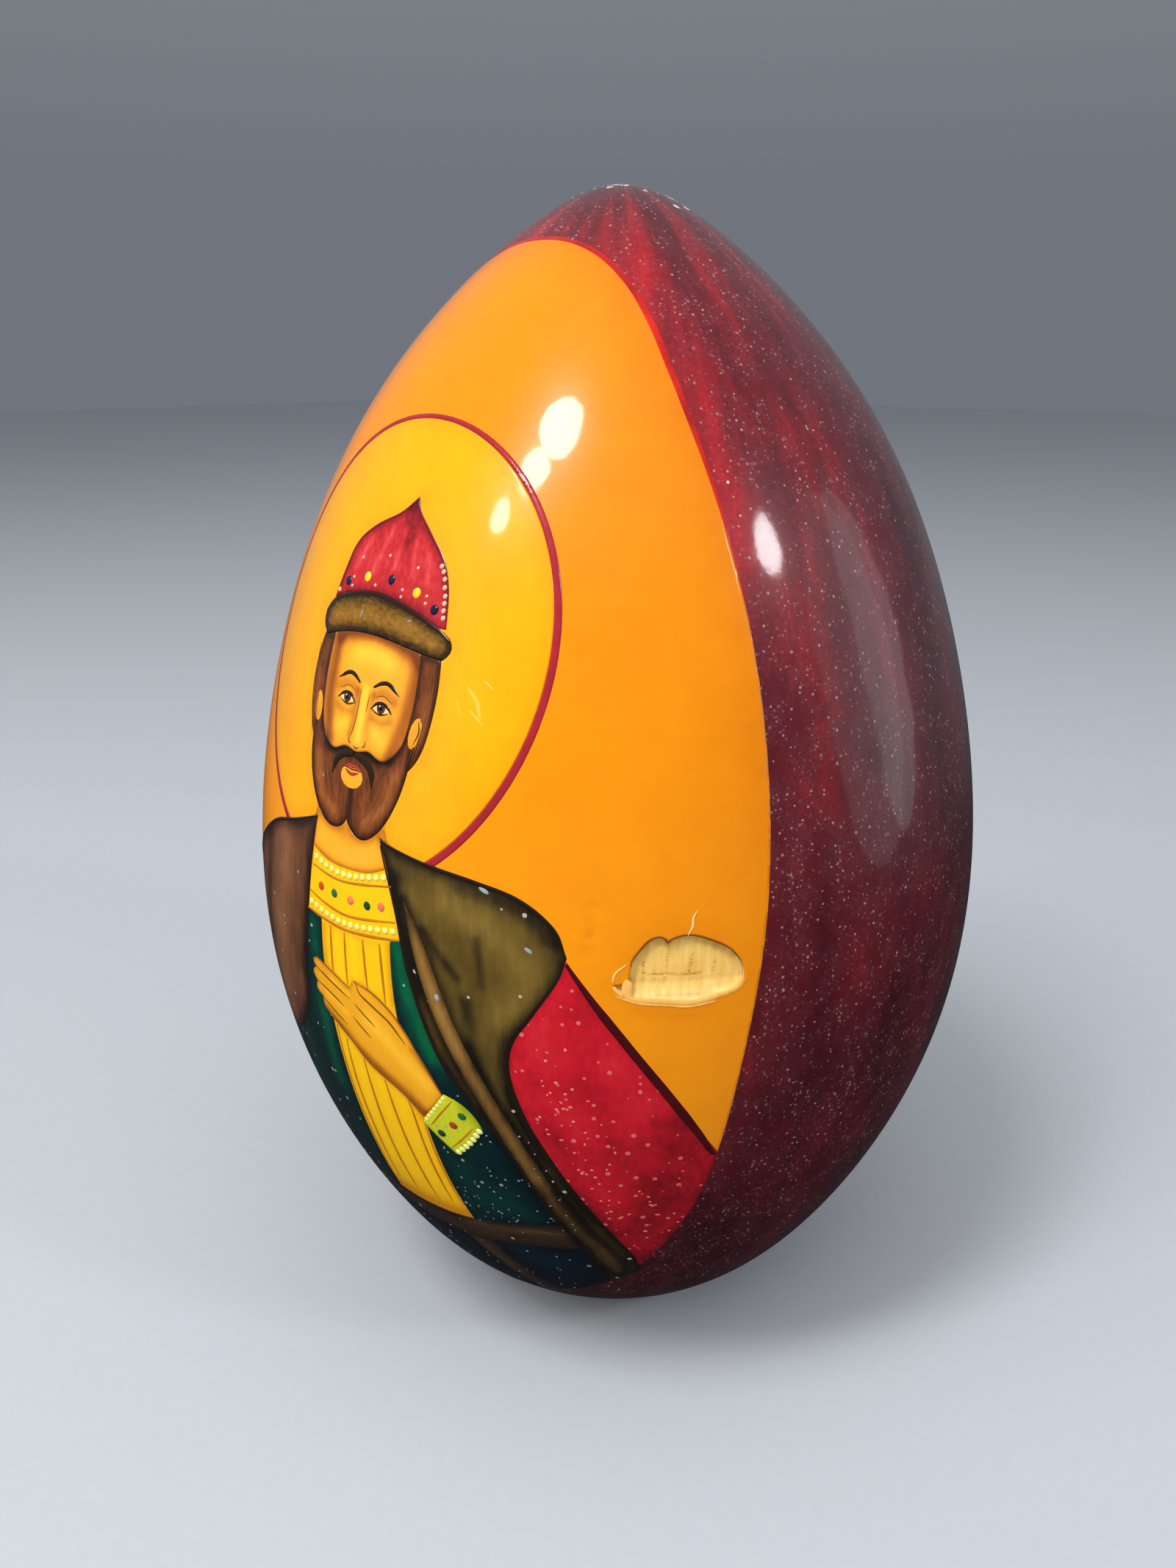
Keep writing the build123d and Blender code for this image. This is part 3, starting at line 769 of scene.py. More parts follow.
# eyes, brows, nose and mouth keep the places that drawing books give them
EYE_LINE, EYE_OFF = 96.2, 2.75
face_strokes = [
    (face_path((0, 97.6), (0, 94.5), (0, 92.4)), 0.55, 0.30),      # ridge of the nose
    (face_path((-1.1, 97.2), (-1.15, 94.6), (-1.5, 92.6)), 0.5, -0.22),
    (face_path((1.2, 97.2), (1.2, 94.8), (1.5, 92.8)), 0.45, -0.12),
    (face_path((-2.2, 101), (0, 101.6), (2.4, 101)), 1.3, 0.22),  # forehead
    (face_path((-6.2, 101.5), (-6.0, 96), (-4.9, 91.5)), 1.0, -0.42),
    (face_path((6.4, 101.5), (6.2, 96), (5.0, 91.5)), 0.9, -0.34),
    (face_path((-6, 102.4), (0, 103.2), (6, 102.2)), 0.9, -0.40),
]
for path in both((1.5, 97.4), (2.9, 97.9), (4.4, 97.2)):
    face_strokes.append((path, 0.6, -0.20))
for path in both((1.7, 95.0), (3.0, 94.7), (4.3, 95.2)):
    face_strokes.append((path, 0.4, -0.16))
for path in both((2.4, 93.6), (3.6, 93.0)):
    face_strokes.append((path, 1.0, 0.20))
film("face", skin, strokes=face_strokes, edge=(-0.12, 0.5), spacing=0.3, rings=(0.2, 0.45))
film("hair", hair_brown, edge=(-0.28, 0.45), spacing=0.35, rings=(0.2,),
     strokes=[([(-7.4, 98), (-7.2, 94)], 0.5, 0.25), ([(10, 98), (9.9, 94)], 0.5, 0.25)])
film(
    "beard", hair_brown, edge=(-0.42, 0.5), spacing=0.3, rings=(0.2, 0.45),
    strokes=[
        ([(-5.2, 89.5), (-4.0, 85.8), (-1.6, 84.0)], 0.8, 0.34),
        ([(7.6, 90), (6.2, 86), (3.8, 83.8)], 0.8, 0.30), ([(1.3, 87.2), (1.3, 84.2)], 0.4, -0.35),
        ([(-1.2, 86.4), (-0.8, 84.4)], 0.5, 0.14), ([(3.6, 86.6), (3.3, 84.6)], 0.5, 0.14),
        ([(-4, 91), (1.3, 90.8), (6.6, 91)], 0.6, -0.28),
    ],
)
neck_paint = paint("neck ochre", [(150, 78, 10), (206, 126, 12), (236, 160, 30), (246, 184, 60)])
film("neck", neck_paint, edge=(-0.3, 0.5), spacing=0.4, base=0.72,
     strokes=[([(-4, 83.6), (1.5, 82.2), (6.5, 83.4)], 1.1, -0.3)])

# strands of hair and beard
strand_light = paint("hair light", [(92, 50, 22), (124, 72, 34), (150, 92, 48)], mottle=0.4)
strand_lines = []
for offset in (-0.9, -0.3, 0.3):
    left = [(-7.6 + offset * 0.6, 101), (-7.7 + offset * 0.7, 96), (-6.6 + offset * 0.6, 91)]
    right = [(10.2 + offset * 0.5, 101), (10.3 + offset * 0.6, 96), (9.3 + offset * 0.5, 91)]
    strand_lines += [(left, 0.16), (right, 0.16)]
for root, tip in ((-5.6, -3.4), (-4.6, -2.2), (-3.2, -1.2)):
    strand_lines += [(path, 0.17) for path in both((root, 89.6), (root * 0.86, 86.8), (tip, 83.9))]
line_work("hair_strands", strand_light, strand_lines, taper=(0.1, 0.1), height=0.015)

# ears
ear_parts = [dome((-6.45, 94.5), (0.75, 1.7), LINE, 0.06, radians(4)),
             dome((9.2, 94.3), (0.75, 1.7), LINE, 0.06, radians(-10))]
points, faces, shade = join(ear_parts)
make_piece("ears", points, faces, shade - 0.08, skin)
line_work(
    "ear_folds", dark_line,
    [([(-6.75, 95.7), (-6.9, 94.6), (-6.5, 93.4)], 0.18), ([(9.5, 95.6), (9.7, 94.4), (9.2, 93.2)], 0.18)],
    proud=DETAIL + 0.03, height=0.01, taper=(0.2, 0.2),
)


def eye(side):
    """The white of one eye, an almond of few points."""
    half = 1.35
    upper = [(u, 0.60 * (1 - (u / half) ** 2)) for u in np.linspace(-half, half, 13)]
    lower = [(u, -0.45 * (1 - (u / half) ** 2)) for u in np.linspace(half, -half, 13)[1:-1]]
    loop = np.array([on_face(side * EYE_OFF + u, EYE_LINE + v) for u, v in upper + lower])
    flat, faces, _ = fill([loop], 0.25, 3, ())
    return lift(flat, LINE), [tuple(face) for face in faces], np.full(len(flat), 0.5)


eye_white = paint("eye white", [(190, 150, 96), (226, 196, 142), (240, 220, 176)], mottle=0.3)
joined_piece("eye_whites", eye_white, [eye(-1), eye(1)])
iris_brown = paint("iris brown", [(40, 22, 10), (78, 46, 20), (104, 64, 30)], mottle=0.3)
eye_middles = [on_face(side * EYE_OFF, EYE_LINE + 0.12) for side in (-1, 1)]
blobs("irises", iris_brown, eye_middles, 0.66, DETAIL, 0.02)
pupil_black = paint("pupil black", [(8, 6, 6), (16, 12, 10), (26, 20, 18)])
blobs("pupils", pupil_black, eye_middles, 0.33, DETAIL + 0.03, 0.02)
glint_white = paint("glint white", [(225, 220, 208), (240, 236, 226), (250, 248, 240)])
glint_middles = [on_face(side * EYE_OFF - 0.14, EYE_LINE + 0.28) for side in (-1, 1)]
blobs("eye_glints", glint_white, glint_middles, 0.10, DETAIL + 0.06, 0.01)
lids = [(path, 0.36) for path in both((1.3, 95.95), (2.0, 96.6), (2.8, 96.78), (3.6, 96.55), (4.35, 95.95))]
lids += [(path, 0.15) for path in both((1.45, 95.95), (2.2, 95.66), (2.9, 95.62), (3.8, 95.9))]
line_work("eyelids", dark_line, lids, proud=DETAIL + 0.02, height=0.015, taper=(0.3, 0.3))
brows = [(path, 0.5) for path in both((1.1, 98.15), (2.2, 98.75), (3.3, 98.8), (4.9, 97.9))]
line_work("brows", dark_line, brows, proud=LINE, height=0.03, taper=(0.55, 0.12))
soft_brown = paint("soft brown line", [(104, 52, 16), (140, 78, 26), (170, 104, 40)], mottle=0.3)
creases = [(path, 0.16) for path in both((1.6, 97.2), (2.8, 97.55), (4.2, 97.0))]
nose = [
    (face_path((-0.75, 97.6), (-0.72, 95.2), (-0.95, 93.2), (-1.3, 92.4)), 0.22),
    (face_path((-1.3, 92.4), (-1.32, 91.9), (-0.85, 91.75)), 0.24),
    (face_path((1.25, 92.5), (1.32, 91.95), (0.85, 91.75)), 0.24),
    (face_path((-0.5, 91.62), (0, 91.42), (0.5, 91.62)), 0.24),
    (face_path((0.72, 97.4), (0.66, 95.4)), 0.14),
]
line_work("nose_and_creases", soft_brown, creases + nose, proud=LINE, height=0.015, taper=(0.2, 0.2))
points, faces, shade = dome(on_face(0, 88.35), (1.9, 1.35), LINE, 0.03)
make_piece("mouth_skin", points, faces, shade + 0.02, skin)
lip_red = paint("lip red", [(120, 24, 16), (168, 44, 30), (196, 70, 48)], mottle=0.4)
lips = [
    (face_path((-1.35, 89.25), (-0.5, 89.5), (0, 89.38), (0.5, 89.5), (1.35, 89.25)), 0.42),
    (face_path((-1.1, 88.95), (0, 88.62), (1.1, 88.95)), 0.52),
]
line_work("lips", lip_red, lips, proud=DETAIL, height=0.03, taper=(0.2, 0.2))
line_work("mouth_line", dark_line,
          [(face_path((-1.35, 89.15), (-0.6, 89.2), (0, 89.1), (0.6, 89.2), (1.35, 89.15)), 0.16)],
          proud=DETAIL + 0.035, height=0.01)
moustache = [(path, 0.95) for path in both((0.15, 90.75), (1.7, 90.45), (2.9, 89.5), (3.3, 87.9))]
line_work("moustache", dark_line, moustache, proud=LINE + 0.01, height=0.05, taper=(0.6, 0.15))

# ---------------------------------------------------------------- hat
hat_red = paint("hat red", [(84, 12, 16), (136, 20, 26), (184, 34, 38), (206, 62, 62), (226, 116, 108)],
                streaks=0.55, stretch=(1, 1, 0.4), fine=2.0, mottle=0.3)
film(
    "hat_crown", hat_red, edge=(-0.28, 0.6), spacing=0.35,
    strokes=[
        ([(2.6, 116.4), (2.9, 113)], 1.0, -0.3), ([(-4.4, 109.5), (-2.6, 112.6)], 0.35, 0.22),
        ([(-1.2, 109.5), (0.4, 113.6)], 0.35, 0.24), ([(2.0, 110), (2.4, 113.8)], 0.35, 0.26),
        ([(4.8, 109.5), (4.2, 113)], 0.35, 0.24), ([(7.4, 108.6), (6.2, 111.8)], 0.35, 0.2),
    ],
)
fur = paint("fur brown", [(22, 14, 6), (54, 34, 8), (104, 70, 14), (142, 98, 26), (170, 130, 56)],
            streaks=0.6, stretch=(0.8, 0.8, 1.4), fine=1.8, mottle=0.3)
film("hat_brim", fur, edge=(-0.42, 0.75), spacing=0.35,
     strokes=[([(-6.2, 104.2), (-1, 105), (5, 104.6), (9.6, 103.2)], 0.9, 0.22)])
line_work(
    "brim_shadow", dark_line,
    [([(-7, 105.8), (-3.5, 106.9), (0.5, 107.2), (5, 106.4), (9.4, 104.8), (11.2, 103.8)], 0.55)],
    proud=LINE, height=0.02,
)
outline_dark = paint("crimson outline", [(70, 10, 12), (108, 16, 18), (140, 24, 24)], mottle=0.4)
line_work(
    "hat_outline", outline_dark,
    [([(-7, 106.1), (-6.2, 109), (-5.1, 111.9), (-2.7, 113.8), (0.8, 115.4), (2.8, 117.1)], 0.36),
     ([(2.8, 117.1), (3.7, 115.6), (5.7, 113.8), (8.3, 111.3), (9.7, 108.6), (10.4, 105.6)], 0.36)],
    proud=LINE, height=0.015, taper=(0.5, 0.5),
)

# ---------------------------------------------------------------- collar and robe
gold = paint(
    "robe gold", [(208, 136, 0), (232, 166, 0), (246, 187, 0), (252, 199, 2), (254, 210, 34)],
    streaks=0.24, stretch=(1, 1, 0.2), fine=1.5,
)
film("collar", gold, edge=(-0.14, 0.5), spacing=0.4)
film(
    "robe_front", gold, edge=(-0.22, 0.7), spacing=0.42,
    strokes=[
        ([(-2.6, 70), (-2.6, 60)], 0.5, -0.2), ([(2.6, 70), (2.8, 64)], 0.5, 0.18),
        ([(-0.2, 70), (-0.2, 64)], 0.5, 0.16), ([(1.2, 52), (1.5, 38)], 0.7, 0.18),
        ([(4.2, 52), (4.6, 36)], 0.7, 0.16), ([(7.1, 50), (7.6, 36)], 0.6, 0.14),
        ([(-1.5, 31), (5, 31.4), (11, 31.8)], 2.0, -0.55),
        ([(-0.5, 58), (3, 55.6), (8, 52.6), (10.4, 49.6)], 1.0, -0.42),
        ([(8, 71.4), (8.3, 64)], 0.5, -0.18),
    ],
)
fold_brown = paint("fold brown", [(120, 58, 6), (168, 92, 8), (198, 122, 12), (216, 146, 20)], mottle=0.5,
                   streaks=0.4)
folds = [
    ([(-1.4, 70.6), (-1.4, 67), (-1.4, 64.4)], 0.42), ([(1.1, 70.5), (1.15, 67), (1.2, 64)], 0.42),
    ([(4.15, 70.6), (4.4, 67), (4.6, 64.6)], 0.42), ([(6.7, 70.8), (7.0, 67), (7.2, 63.6)], 0.42),
    ([(-2.0, 57.4), (-1.7, 52), (-1.2, 44), (-0.9, 34)], 0.36),
    ([(-0.5, 56.0), (-0.3, 50), (0.2, 42), (0.3, 33.5)], 0.46),
    ([(2.2, 54.4), (2.5, 50), (2.8, 42), (3.4, 33)], 0.46),
    ([(5.2, 52.6), (5.5, 50), (6.1, 42), (6.8, 33)], 0.46),
    ([(8.4, 51), (8.7, 48), (8.9, 42), (9.3, 34)], 0.42), ([(10.0, 48), (10.2, 42), (10.8, 34)], 0.3),
]
line_work("robe_folds", fold_brown, folds, taper=(0.5, 0.3), height=0.02)
collar_lines = [
    ([(-4.7, 79.2), (-2.4, 78.5), (0.1, 78.3), (4.4, 78.6), (7.3, 79.6)], 0.42),
    ([(-4.85, 76.9), (-1.15, 76.5), (2.2, 76.7), (8.2, 77.8)], 0.36),
    ([(-5.5, 73.6), (-1.7, 72.9), (2.2, 72.75), (8.9, 73.9)], 0.40),
    ([(-6, 71.3), (-1.7, 70.95), (2.2, 70.95), (9.4, 71.95)], 0.44),
]
line_work("collar_lines", fold_brown, collar_lines, taper=(0.6, 0.6), height=0.02)
pearl = paint("pearl yellow", [(236, 196, 60), (250, 222, 110), (255, 240, 160)], streaks=0.1)
pearls = beads([(-4.7, 78.1), (-1.1, 77.45), (2.2, 77.5), (7.6, 78.7)], 1.05)
pearls += beads([(-5.7, 72.4), (-1.7, 71.8), (2.2, 71.75), (9.1, 72.9)], 1.05)
blobs("collar_pearls", pearl, pearls, 0.40)
GEMS = {
    "gem_orange": ((196, 62, 22), [(-3.1, 74.8)]),
    "gem_green": ((34, 96, 48), [(-0.6, 74.7), (15.4, 51.0)]),
    "gem_salmon": ((222, 110, 78), [(2.2, 74.7), (6.9, 75.2)]),
    "gem_dark_green": ((20, 62, 38), [(4.85, 74.8), (12.1, 47.3)]),
    "gem_red_brown": ((150, 58, 26), [(14.0, 49.2)]),
    "gem_navy": ((26, 24, 52), [(-5.1, 108), (2.1, 108.9), (8.7, 106.6)]),
    "gem_yellow": ((250, 196, 30), [(-1.75, 108.8), (6, 108)]),
}
for name, (colour, centres) in GEMS.items():
    dark = tuple(c * 0.55 for c in colour)
    light = tuple(min(255, c * 1.25 + 18) for c in colour)
    blobs(name, paint(name.replace("_", " "), [dark, colour, light], mottle=0.3), centres, 0.52, height=0.1)
tick = paint("hat pearl", [(206, 130, 100), (232, 176, 146), (246, 212, 190)])
blobs(
    "hat_pearls", tick,
    [(8.3, 110.8), (8.7, 110.3), (9.05, 109.6), (9.3, 108.8), (9.6, 108), (9.7, 107.3), (9.8, 106.6),
     (9.95, 105.9), (-6.5, 106.9)], 0.26, height=0.08,
)
blobs(
    "hat_ticks", tick,
    [(-4.2, 108.5), (-4.2, 107.6), (-0.2, 108.1), (4, 108.1), (4, 107.4), (7.4, 107.8), (7.4, 107.1),
     (-3.4, 110.6), (1.0, 111.2), (5.4, 110.4)], 0.17, height=0.05,
)

# ---------------------------------------------------------------- cloaks and trim
left_brown = paint("left cloak brown",
                   [(26, 15, 12), (58, 33, 22), (96, 58, 36), (128, 82, 52), (150, 104, 70)],
                   streaks=0.34, stretch=(1, 1, 0.25), fine=1.1, mottle=0.3, dust=0.04)
film(
    "left_cloak", left_brown, edge=(-0.42, 1.1), spacing=0.5,
    strokes=[
        ([(-12, 77), (-14, 69), (-15.5, 61), (-18, 53)], 3.2, 0.32),
        ([(-21, 72), (-24, 63), (-28, 52)], 2.2, 0.16), ([(-17.5, 76), (-20, 66), (-22.5, 52)], 1.1, -0.22),
        ([(-8.5, 80), (-9.4, 70), (-10.5, 60)], 1.5, -0.04),
        ([(-27, 68), (-32, 58), (-35, 50)], 1.8, -0.22),
    ],
)
olive = paint("right cloak olive",
              [(26, 20, 12), (52, 40, 18), (84, 66, 24), (112, 88, 34), (134, 108, 50)],
              streaks=0.34, stretch=(1, 1, 0.3), fine=1.2, mottle=0.3, dust=0.04)
film(
    "right_cloak", olive, edge=(-0.46, 0.9), spacing=0.45,
    strokes=[
        ([(15, 77.6), (20, 75), (23.6, 70.5), (21, 65.5)], 2.2, 0.28),
        ([(10.6, 77.5), (13.5, 70), (16.6, 63)], 1.4, 0.16),
        ([(12.5, 74), (14.5, 71.4), (16.4, 69.3)], 0.5, -0.30),
        ([(18.5, 74), (18.8, 71.5), (19, 69)], 0.5, -0.26),
        ([(8.6, 79), (9.2, 73), (11.6, 66.6)], 1.0, -0.30),
        ([(17.4, 66.5), (18.2, 58), (20.6, 48)], 0.8, -0.26),
        ([(21.4, 56), (22.8, 47), (25, 36)], 1.0, -0.25),
        ([(16.0, 79.2), (22, 77.8), (25.4, 74.6)], 0.7, -0.22),
    ],
)
trim_paint = paint("trim brown", [(36, 26, 14), (70, 50, 24), (108, 76, 32), (136, 98, 44), (162, 120, 62)],
                   streaks=0.4, stretch=(1, 1, 0.2), mottle=0.3)
film(
    "cloak_trim", trim_paint, edge=(-0.38, 0.5), spacing=0.36, rings=(0.2, 0.45), base=0.56,
    strokes=[([(11.2, 72), (13.8, 66), (16.2, 60)], 1.6, 0.26),
             ([(23.4, 40), (24.6, 30), (24.4, 23)], 2.4, -0.3)],
)
cloak_dark = paint("cloak outline", [(18, 12, 8), (32, 22, 14), (48, 34, 20)], mottle=0.3)
line_work(
    "cloak_outlines", cloak_dark,
    [
        ([(6.3, 82.4), (12.3, 81.1), (17.7, 80.2), (22.2, 78.9), (25.6, 76.2), (26.9, 73.2)], 0.5),
        ([(26.9, 73.2), (26.2, 70.4), (24, 66.2), (21.9, 62.4), (21.4, 58.4), (22.4, 52.6), (24.2, 46),
          (26.2, 37.4), (27.3, 29.5), (26.9, 24.4)], 0.62),
        ([(6.4, 82), (8.9, 75.1), (10.7, 68), (13.8, 58.7), (16.4, 54.2), (20.1, 46.4), (22.4, 35),
          (23.3, 27), (22.9, 21)], 0.5),
        ([(-4.4, 82.6), (-10, 80.6), (-15, 78.9), (-20, 76), (-25, 72.1), (-29.5, 66.4), (-33.6, 58.4),
          (-37.6, 48.6)], 0.5), ([(-4.6, 82), (-5.4, 76.7), (-6.1, 71.3), (-7.2, 64.5), (-8.4, 57.9),
                                  (-11.7, 53.1), (-16.2, 49.4)], 0.5),
    ],
    taper=(0.5, 0.4), height=0.02,
)

# ---------------------------------------------------------------- sleeve
crimson = paint("sleeve crimson", [(84, 6, 14), (144, 12, 24), (192, 18, 34), (208, 38, 48), (224, 88, 84)],
                streaks=0.34, stretch=(1, 1, 0.5), fine=1.4, mottle=0.44, dust=0.22,
                dust_colour=(226, 120, 104))
film(
    "red_sleeve", crimson, edge=(-0.16, 0.6), spacing=0.5,
    strokes=[
        ([(24.4, 65), (25.6, 59), (27.4, 52)], 2.4, 0.10), ([(28, 57), (30, 50), (31, 44)], 2.2, -0.10),
        ([(35.6, 52), (33.4, 42), (28, 28)], 2.6, -0.26), ([(24, 58), (25.6, 46), (27.2, 34)], 1.2, -0.12),
        ([(30, 63), (33, 54), (34, 46)], 2.0, 0.08),
    ],
)
maroon_line = paint("sleeve outline", [(40, 6, 10), (68, 10, 16), (98, 16, 22)], mottle=0.4)
line_work(
    "sleeve_outline", maroon_line,
    [([(27.0, 72.4), (29.4, 68.2), (32.2, 63.1), (34.8, 57.4), (36.7, 51.6), (37.6, 47.2)], 0.85)],
    taper=(0.4, 0.5), height=0.025,
)

# ---------------------------------------------------------------- hand and cuff
hand_ochre = paint("hand ochre",
                   [(132, 72, 10), (190, 118, 14), (232, 158, 20), (244, 178, 36), (250, 198, 76)],
                   streaks=0.14)
film(
    "hand", hand_ochre, edge=(-0.16, 0.4), spacing=0.32, rings=(0.2, 0.45),
    strokes=[
        ([(-3.6, 58.6), (-0.6, 56.9), (3.2, 54.6), (8, 52.0), (10.6, 49.6)], 0.9, -0.42),
        ([(4.6, 60.4), (8, 57.6), (11.6, 54.4)], 1.3, 0.26), ([(-2, 63.6), (1.0, 62.6)], 0.4, 0.2),
        ([(-3.2, 61.4), (0.4, 60)], 0.4, 0.18), ([(10.4, 58.6), (13.6, 54.6)], 0.6, -0.2),
    ],
)
hand_line = paint("hand line", [(66, 44, 8), (104, 70, 12), (140, 96, 20)], mottle=0.4)
line_work(
    "hand_lines", hand_line,
    [
        ([(2.6, 64.9), (2.9, 63.9), (3.3, 63.4), (5.4, 62.4), (7.3, 61.4), (8.6, 60.1), (9.5, 59)], 0.34),
        ([(2.1, 61.8), (3.4, 61), (5.2, 59.9)], 0.26), ([(1.5, 59.9), (2.7, 59.1), (4.2, 58.1)], 0.26),
        ([(-5.2, 64.1), (-2, 63.2), (1.3, 62.2)], 0.30), ([(-4.8, 62.2), (-2, 61.5), (0.2, 60.7)], 0.28),
        ([(-4.2, 60.3), (-2, 59.3), (0.2, 58.3)], 0.28),
    ],
    taper=(0.3, 0.2), height=0.015,
)
line_work(
    "hand_outline", soft_brown,
    [
        ([(10.6, 59), (8.3, 62.3), (5.4, 64.2), (2.3, 64.8)], 0.3),
        ([(1.4, 63.6), (-1.5, 64.6), (-4.6, 65.3), (-5.5, 64.7)], 0.26),
        ([(-4.2, 59.3), (-2.5, 58.1), (0.4, 56.4), (3.2, 54.1), (7.7, 51.7), (10.1, 49.2)], 0.42),
        ([(13.4, 53.4), (12.0, 56.4), (10.6, 59)], 0.3),
    ],
    taper=(0.4, 0.4), height=0.015,
)
lime = paint("cuff lime", [(126, 132, 16), (176, 180, 18), (214, 214, 36), (230, 230, 84)], streaks=0.25)
film("cuff", lime, edge=(-0.2, 0.35), spacing=0.32, rings=(0.2, 0.45),
     strokes=[([(15.9, 52.2), (17.1, 50.0)], 0.9, -0.22), ([(13.6, 53.4), (10.1, 48.4)], 0.5, 0.3)])
cuff_pearls = beads([(17.4, 49.7), (15.5, 46.9), (13.4, 44.6)], 0.95)
pale_lime = paint("pale lime", [(206, 208, 80), (226, 228, 122), (240, 240, 160)])
blobs("cuff_pearls", pale_lime, cuff_pearls, 0.40)
edge_pearls = beads([(13.7, 53.3), (11.9, 50.8), (10.2, 48.5)], 0.8)
blobs("cuff_edge_pearls", pale_lime, edge_pearls, 0.28, height=0.06)
line_work("cuff_lines", fold_brown,
          [([(16.4, 49.5), (14.7, 47.3), (12.9, 45.3)], 0.26),
           ([(14.5, 52.9), (12.6, 50.4), (10.9, 48.1)], 0.24)],
          height=0.015)

# ---------------------------------------------------------------- belt, band, tunic and skirt
belt_brown = paint("belt brown", [(18, 14, 12), (38, 28, 20), (66, 48, 30), (92, 68, 44)], streaks=0.5,
                   stretch=(0.3, 0.3, 1.2), mottle=0.4, dust=0.04)
film("belt", belt_brown, edge=(-0.2, 0.8), spacing=0.6,
     strokes=[([(10, 30.4), (16, 31.6), (22, 32.6)], 0.8, 0.3), ([(-18, 30.6), (-6, 29.4)], 1.2, 0.12)])
film("front_band", belt_brown, edge=(-0.24, 0.6), spacing=0.5, strokes=[([(9.5, 26), (12, 18)], 0.8, 0.22)])
green = paint(
    "tunic green", [(8, 22, 24), (10, 36, 36), (6, 58, 46), (2, 92, 54), (20, 122, 70)],
    streaks=0.26, stretch=(1, 1, 0.3), fine=1.2, mottle=0.3, dust=0.09, dust_colour=(170, 182, 172),
)
film(
    "tunic", green, edge=(-0.12, 0.8), spacing=0.5, base=0.26,
    strokes=[
        ([(9.2, 72), (10.8, 66), (13.4, 58.6)], 2.0, 0.50),
        ([(-5.2, 70), (-4.6, 60), (-4.4, 48)], 1.5, 0.34), ([(12.4, 44), (14, 38), (18, 36)], 2.6, 0.12),
        ([(-12, 50), (-11, 40), (-10, 34)], 2.4, 0.10), ([(19, 48), (21, 40), (22, 34)], 1.2, -0.15),
        ([(-24, 42), (-18, 36)], 4, -0.14),
    ],
)
teal = paint("skirt blue", [(6, 9, 14), (10, 20, 28), (14, 34, 46), (26, 52, 66)], streaks=0.3,
             stretch=(1, 1, 0.3), mottle=0.35, dust=0.06, dust_colour=(150, 160, 165))
film(
    "skirt", teal, edge=(-0.16, 0.9), spacing=0.6, base=0.5,
    strokes=[([(16, 27), (18, 20)], 2.4, 0.12), ([(4, 26), (7, 18)], 1.2, -0.2),
             ([(-12, 26), (-8, 18)], 2.4, 0.10)],
    # tint: darker towards the bottom, painted shade where the egg turns under
    tint=lambda x, z: -0.028 * np.clip(24 - z, 0, 12),
)

# ---------------------------------------------------------------- tip wear and flecks of lost paint
worn = Shader("worn tip")
worn_colour = worn.ramp(
    worn.total(0.5, (worn.noise(1.6, 4.0), 1.2)),
    [(0, (120, 96, 88)), (0.5, (206, 196, 184)), (1, (236, 230, 220))],
)
worn_tip = worn.finish(worn_colour, 0.6, worn.bump(worn.noise(2.5, 3.0), 0.06))


def tip_patch(centre, radius, seed):
    """A ragged patch rubbed through at the tip, round the axis rather than in the drawing."""
    ragged = Random(seed)
    sides = 22
    points = []
    for size, proud in ((1.0, 0.012), (0.55, 0.03), (0.0, 0.035)):
        for i in range(sides if size else 1):
            reach = radius * size * ((0.75 + 0.5 * ragged.random()) if size == 1.0 else 1)
            x = centre[0] + reach * cos(2 * pi * i / sides)
            y = centre[1] + reach * sin(2 * pi * i / sides)
            off = sqrt(x * x + y * y)
            # close in on the height at which the egg is this wide
            low, high = 120.0, EGG_HEIGHT
            for _ in range(40):
                middle = (low + high) / 2
                low, high = (middle, high) if radius_at(middle) > off else (low, middle)
            radial, upward = normal_at(low)
            out = 1 + proud * radial / max(off, 0.01)
            points.append((x * out, y * out, low + proud * upward))
    faces = [(i, (i + 1) % sides, sides + (i + 1) % sides, sides + i) for i in range(sides)]
    faces += [(sides + i, sides + (i + 1) % sides, 2 * sides) for i in range(sides)]
    return np.array(points), faces, np.full(len(points), 0.5)


tip_marks = [
    tip_patch((0.5, -0.6), 1.5, 1), tip_patch((-1.6, -0.9), 0.7, 2), tip_patch((1.6, 0.9), 0.8, 3),
    tip_patch((2.2, -1.6), 0.35, 4), tip_patch((5.4, 2.6), 1.0, 5), tip_patch((6.3, 3.9), 0.7, 6),
]
tip_dice = Random(11)
for number in range(36):
    around = tip_dice.uniform(0, 2 * pi)
    reach = tip_dice.uniform(1.5, 8.5)
    centre = (reach * cos(around), reach * sin(around))
    tip_marks.append(tip_patch(centre, tip_dice.uniform(0.10, 0.42), 10 + number))
joined_piece("worn_tip", worn_tip, tip_marks)

dice = Random(7)


def fleck(place, across, along, sides):
    """A speck of lost paint at a random slant, its radii drawn from the two ranges."""
    radii = (dice.uniform(*across), dice.uniform(*along))
    return dome(place, radii, LINE, 0.015, dice.uniform(0, 3), sides)


